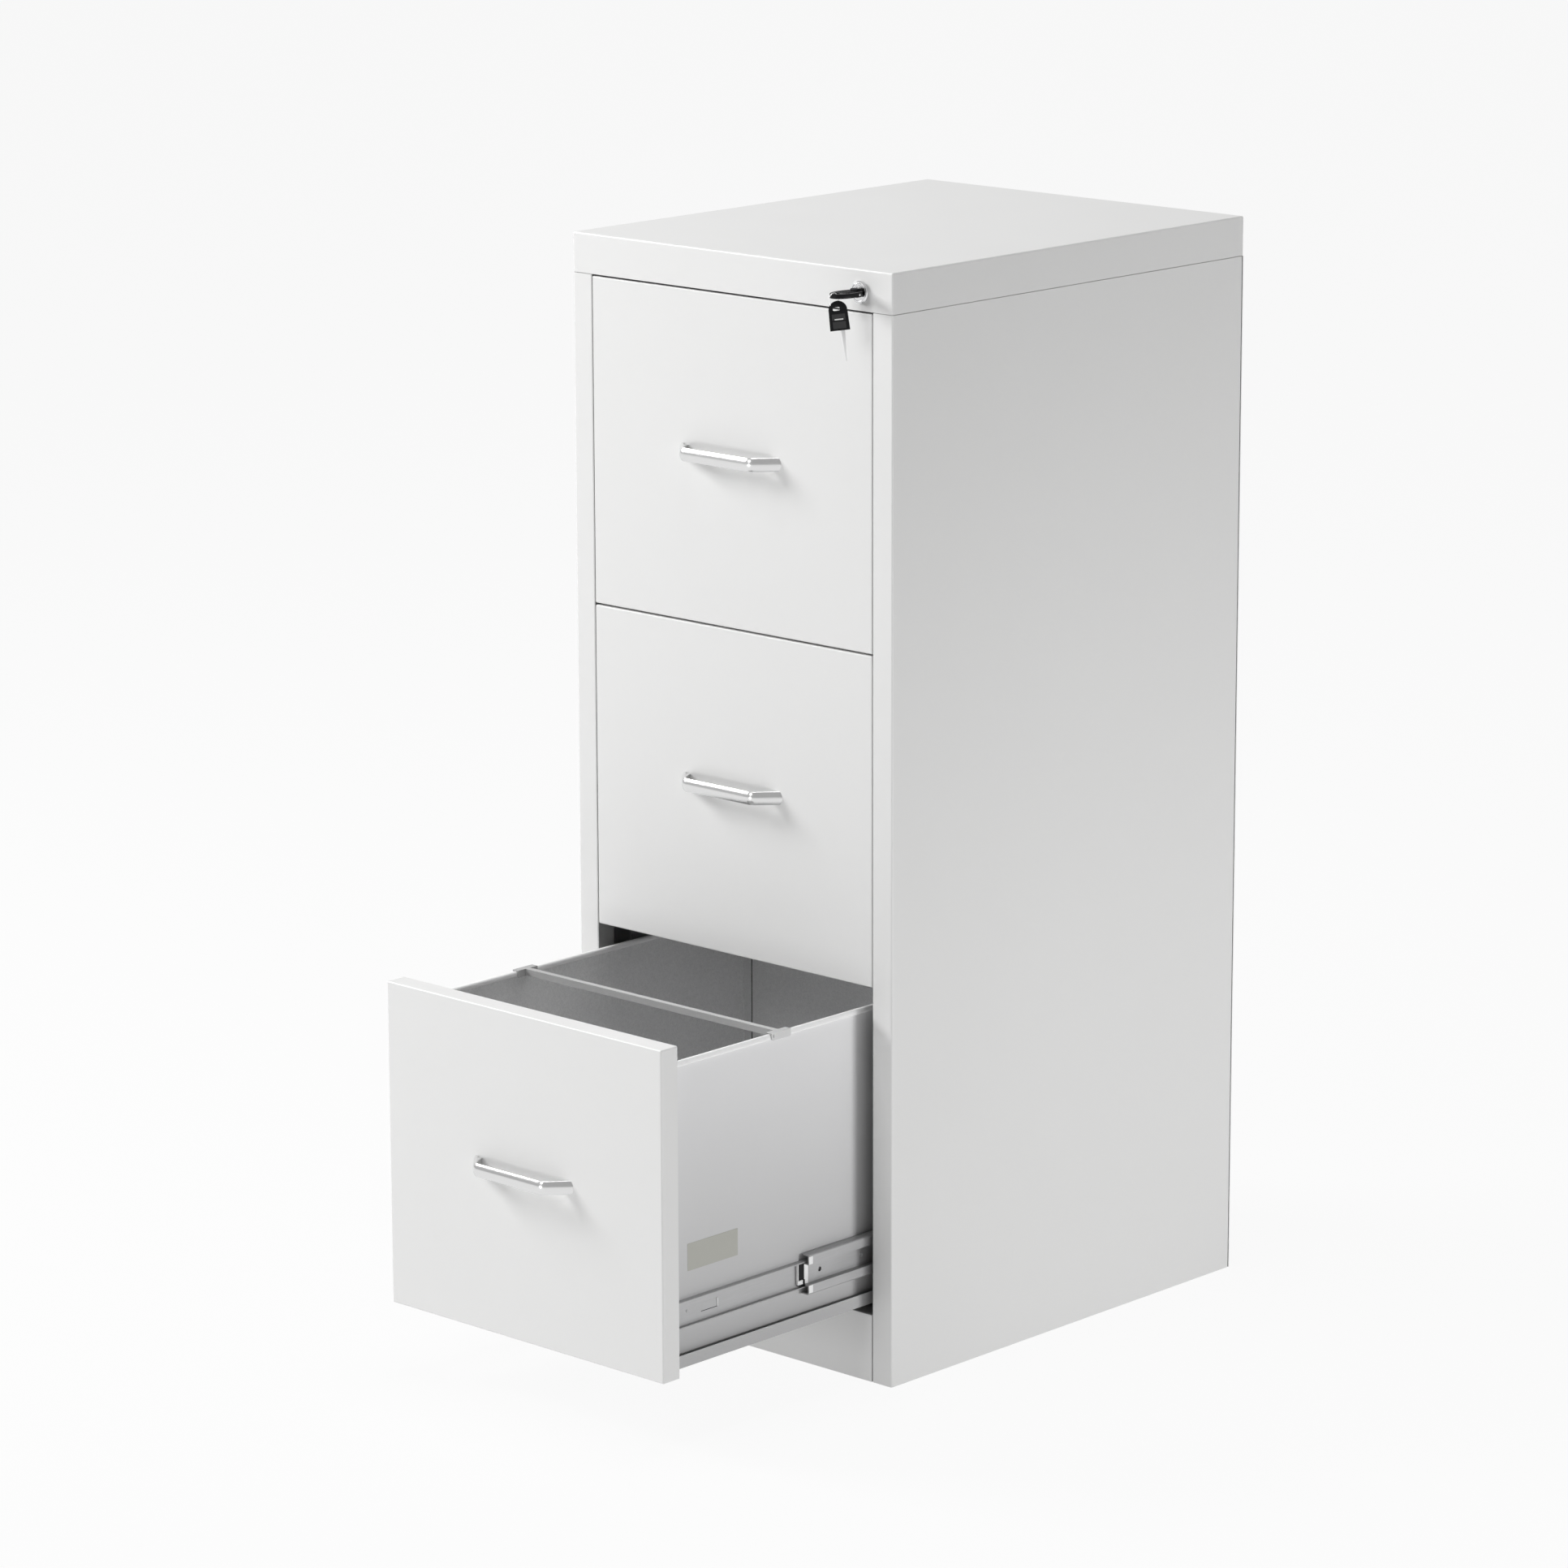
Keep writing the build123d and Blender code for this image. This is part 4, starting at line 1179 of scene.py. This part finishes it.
@dataclass
class Lock:
    """The lock in the cover's skirt, its key and the ring with the spare key."""

    finishes: Finishes
    nodes: Nodes
    centre: Point = (0.1585, -0.2435, 1.0)
    head_base: float = -0.2470
    head_tip: float = -0.2800
    head_half: float = 0.01075
    head_thick: float = 0.0040
    widest: float = 0.545
    flange_radius: float = 0.0080
    flange_wire: float = 0.0003
    eye: float = 0.0027
    eye_cut: float = 0.01
    eye_y: float = -0.2741
    recess_share: float = 0.62
    recess_tip: float = 0.0105
    recess_base: float = 0.0052
    recess_depth: float = 0.0005
    rib_count: int = 4
    rib_share: float = 0.5
    rib_start: float = 0.0122
    rib_pitch: float = 0.0036
    rib_width: float = 0.0014
    rib_depth: Pair = (0.0006, 0.0001)
    collar: Point = (0.0046, 0.0058, 0.0040)
    collar_round: float = 0.0012
    collar_lap: float = 0.0006
    blade: Point = (0.0034, 0.0120, 0.0010)
    side_dot: Dot = Dot((0.0100, -0.0085, -0.0004), (0.97, 0.22, 0.0), 0.0010, 0.0007)
    top_dot: Dot = Dot((0.0030, -0.0016, 0.0042), (0.0, 0.0, 1.0), 0.0011, 0.0022)
    spare_eye: Pair = (0.0030, -0.0107)
    spare_y: float = -0.27825
    ring_radius: float = 0.0060
    ring_drop: float = 0.00316
    wire: float = 0.0004

    def build(self) -> None:
        """Dress the lock, model the key and hang the spare key."""
        for name in ("lock_housing", "lock_plug"):
            dress(self.nodes[name], self.finishes.chrome)
        for name in ("lock_cam", "locking_rod"):
            dress(self.nodes[name], self.finishes.steel)
        self.escutcheon()
        self.key()
        x, _, z = self.centre
        eye = Vector((x + self.spare_eye[0], self.spare_y, z + self.spare_eye[1]))
        SpareKey(self.finishes, self.spare_y, eye).build()
        self.ring()

    def escutcheon(self) -> None:
        """Turned ring on the lock's flange."""
        x, _, z = self.centre
        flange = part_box("lock_housing")[0].y
        turn = (math.pi / 2, 0.0, 0.0)
        radius, wire = self.flange_radius, self.flange_wire
        piece = Bench.hoop("escutcheon_ring", (x, flange, z), turn, radius, wire, (48, 10))
        Bench.smooth(Bench.resize(piece, (1.0, 0.8, 1.0)), 60.0)
        Bench.hand_over(piece, self.finishes.chrome, "cabinet", "lock_chrome")

    def key(self) -> None:
        """Black lens-shaped key head with its eye, ribs and collar, and the blade in the lock."""
        x, y, z = self.centre
        base, tip, half = self.head_base, self.head_tip, self.head_half
        middle = tip + (base - tip) * self.widest
        stretch = (1.0, (middle - tip) / half, 1.0)
        head = Bench.bar("key_head", (x, middle, z), (0.0, 0.0, 0.0), half, self.head_thick, 56, stretch)
        with Bench.editing(head):
            bpy.ops.mesh.bisect(plane_co=(x, base, z), plane_no=(0, 1, 0), use_fill=True, clear_outer=True)
        pierce(head, Bench.disc("eye", (x, self.eye_y, z), (0, 0, 1), self.eye, self.eye_cut, 24))
        recess_y = (tip + self.recess_tip, base - self.recess_base)
        for sign in (-1, 1):
            depth = (z + sign * (self.head_thick / 2 - self.recess_depth), z + sign * CUT_REACH)
            recess = Bench.block("recess", around(x, half * self.recess_share), recess_y, depth)
            Bench.outward(recess)
            pierce(head, recess)
        Bench.bevel(head, 0.0005, 2, 40)
        ribs = []
        for sign in (-1, 1):
            height = tuple(z + sign * (self.head_thick / 2 - sunk) for sunk in self.rib_depth)
            for number in range(self.rib_count):
                rib_y = tip + self.rib_start + number * self.rib_pitch
                along = (rib_y, rib_y + self.rib_width)
                rib = Bench.block("rib", around(x, half * self.rib_share), along, height)
                Bench.outward(rib)
                ribs.append(Bench.bevel(rib, 0.0001))
        wide, deep, tall = self.collar
        collar_y = (base - deep, base + self.collar_lap)
        collar = Bench.block("collar", around(x, wide), collar_y, around(z, tall))
        Bench.bevel(collar, self.collar_round, 3)
        key = Bench.join([head, collar, *ribs], "key_grip")
        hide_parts("key")
        Bench.hand_over(key, self.finishes.black, "lock_cylinder", "key_plastic")
        dots = [dot.make((x, base, z)) for dot in (self.side_dot, self.top_dot)]
        pivots = Bench.join(dots, "key_pivots")
        Bench.hand_over(pivots, self.finishes.white, "lock_cylinder", "key_plastic")
        wide, deep, thick = self.blade
        blade = Bench.block("key_blade", around(x, wide), (base, y + deep), around(z, thick))
        Bench.hand_over(Bench.bevel(blade, 0.0002), self.finishes.steel, "lock_cylinder", "bare_steel")

    def ring(self) -> None:
        """Split wire ring that joins the two keys, open inside the key's eye."""
        x, _, z = self.centre
        place, turn = (x, self.spare_y, z - self.ring_drop), (0.0, math.pi / 2, 0.0)
        ring = Bench.hoop("key_ring", place, turn, self.ring_radius, self.wire, (48, 8))

        def split(centre: Vector, normal: Vector) -> bool:
            """Whether a face lies where the wire is cut."""
            return abs(centre.y - self.spare_y) < self.wire and centre.z > z

        with Bench.editing(ring, split):
            bpy.ops.mesh.delete(type="FACE")
            bpy.ops.mesh.select_all(action="SELECT")
            bpy.ops.mesh.fill_holes(sides=8)
        Bench.smooth(ring, 60.0)
        Bench.hand_over(ring, self.finishes.polished, "lock_cylinder", "bare_steel")


@dataclass(frozen=True)
class Lamp:
    """A square area lamp that faces a point on the cabinet's upright axis.

    The azimuth is in degrees from the front towards the right side and the elevation in degrees
    above the point that it faces, whose height is the aim. Lengths are in metres and the power in
    watts.
    """

    name: str
    azimuth: float
    elevation: float
    distance: float
    aim: float
    size: float
    power: float

    def hang(self) -> None:
        """Add the lamp to the scene."""
        turn, rise = math.radians(self.azimuth), math.radians(self.elevation)
        away = Vector((math.sin(turn) * math.cos(rise), -math.cos(turn) * math.cos(rise), math.sin(rise)))
        data = bpy.data.lights.new(self.name, "AREA")
        data.size = self.size
        data.energy = self.power
        lamp = bpy.data.objects.new(self.name, data)
        lamp.location = Vector((0.0, 0.0, self.aim)) + away * self.distance
        lamp.rotation_euler = (-away).to_track_quat("-Z", "Y").to_euler()
        bpy.context.scene.collection.objects.link(lamp)


@dataclass
class Studio:
    """Floor, world, lamps and the camera at the photograph's viewpoint."""

    lamps: tuple[Lamp, ...] = (
        Lamp("top_lamp", azimuth=0.0, elevation=89.0, distance=4.0, aim=0.8, size=1.6, power=87.0),
        Lamp("left_lamp", azimuth=-60.0, elevation=30.0, distance=4.0, aim=0.5, size=1.4, power=126.0),
        Lamp("front_high_lamp", azimuth=0.0, elevation=32.0, distance=4.0, aim=0.6, size=1.2, power=20.0),
        Lamp("front_lamp", azimuth=0.0, elevation=0.0, distance=4.0, aim=0.3, size=0.8, power=29.0),
        Lamp("right_lamp", azimuth=98.0, elevation=0.0, distance=1.9, aim=0.12, size=0.4, power=16.5),
    )
    eye: Point = (3.68736, -4.1259, 1.7928)
    yaw: float = 43.014
    pitch: float = 13.246
    roll: float = -0.176
    lens: float = 138.756
    floor_white: float = 0.93
    floor_glow: float = 0.45
    sky_glow: float = 0.45

    def build(self) -> None:
        """Set the stage."""
        self.floor()
        self.world()
        for lamp in self.lamps:
            lamp.hang()
        self.camera()
        bpy.context.scene.view_settings.view_transform = "Standard"

    def floor(self) -> None:
        """A white floor that keeps a faint shadow."""
        Bench.clear()
        bpy.ops.mesh.primitive_plane_add(size=40.0, location=(0.0, 0.0, -0.0002))
        floor = bpy.context.object
        floor.name = "floor"
        paint = Paint("white_floor")
        white = paint.node("ShaderNodeEmission", {}, {"Color": WHITE})
        seen = paint.rays("Is Camera Ray", "Is Transmission Ray", "Is Glossy Ray") * self.floor_white
        seen = seen + paint.rays("Is Diffuse Ray") * self.floor_glow
        cover = paint.node("ShaderNodeMixShader", {}, {0: seen, 1: paint.surface, 2: white})
        paint.finish({"Base Color": (0.6, 0.6, 0.6, 1.0), "Roughness": 0.9}, cover)
        dress(floor, paint.material)

    def world(self) -> None:
        """Plain light from all around, seen as white by the camera."""
        world = bpy.data.worlds.new("studio_world")
        bpy.context.scene.world = world
        world.use_nodes = True
        sky = Network(world.node_tree)
        lit = sky.node("ShaderNodeBackground", {}, {"Color": WHITE, "Strength": 0.04})
        seen = sky.node("ShaderNodeBackground", {}, {"Color": WHITE, "Strength": 1.0})
        share = sky.rays("Is Camera Ray", "Is Transmission Ray") + sky.rays("Is Glossy Ray") * self.sky_glow
        mixed = sky.node("ShaderNodeMixShader", {}, {0: share, 1: lit, 2: seen})
        sky.node("ShaderNodeOutputWorld", {}, {"Surface": mixed})

    def camera(self) -> None:
        """Place the camera where the photograph was taken."""
        data = bpy.data.cameras.new("photo_camera")
        data.sensor_width = 36.0
        data.lens = self.lens
        camera = bpy.data.objects.new("photo_camera", data)
        yaw, pitch, roll = (math.radians(value) for value in (self.yaw, self.pitch, self.roll))
        flat = math.cos(pitch)
        forward = Vector((-math.sin(yaw) * flat, math.cos(yaw) * flat, -math.sin(pitch)))
        right = Vector((math.cos(yaw), math.sin(yaw), 0.0))
        up = right.cross(forward)
        leaned = right * math.cos(roll) + up * math.sin(roll)
        upright = up * math.cos(roll) - right * math.sin(roll)
        turn = Matrix((leaned, upright, -forward)).transposed()
        camera.matrix_world = Matrix.Translation(Vector(self.eye)) @ turn.to_4x4()
        data.clip_end = 100.0
        bpy.context.scene.collection.objects.link(camera)
        bpy.context.scene.camera = camera


def main() -> None:
    """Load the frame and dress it."""
    logging.basicConfig(level=logging.INFO, format="%(name)s: %(message)s")
    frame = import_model()
    nodes = frame["nodes"]
    finishes = Finishes()
    Shell(finishes, nodes).build()
    for level in Level:
        Drawer(level, finishes, nodes).build()
    Slides(finishes, nodes).build()
    Label(finishes).build()
    Lock(finishes, nodes).build()
    Studio().build()


if __name__ == "__main__":
    main()
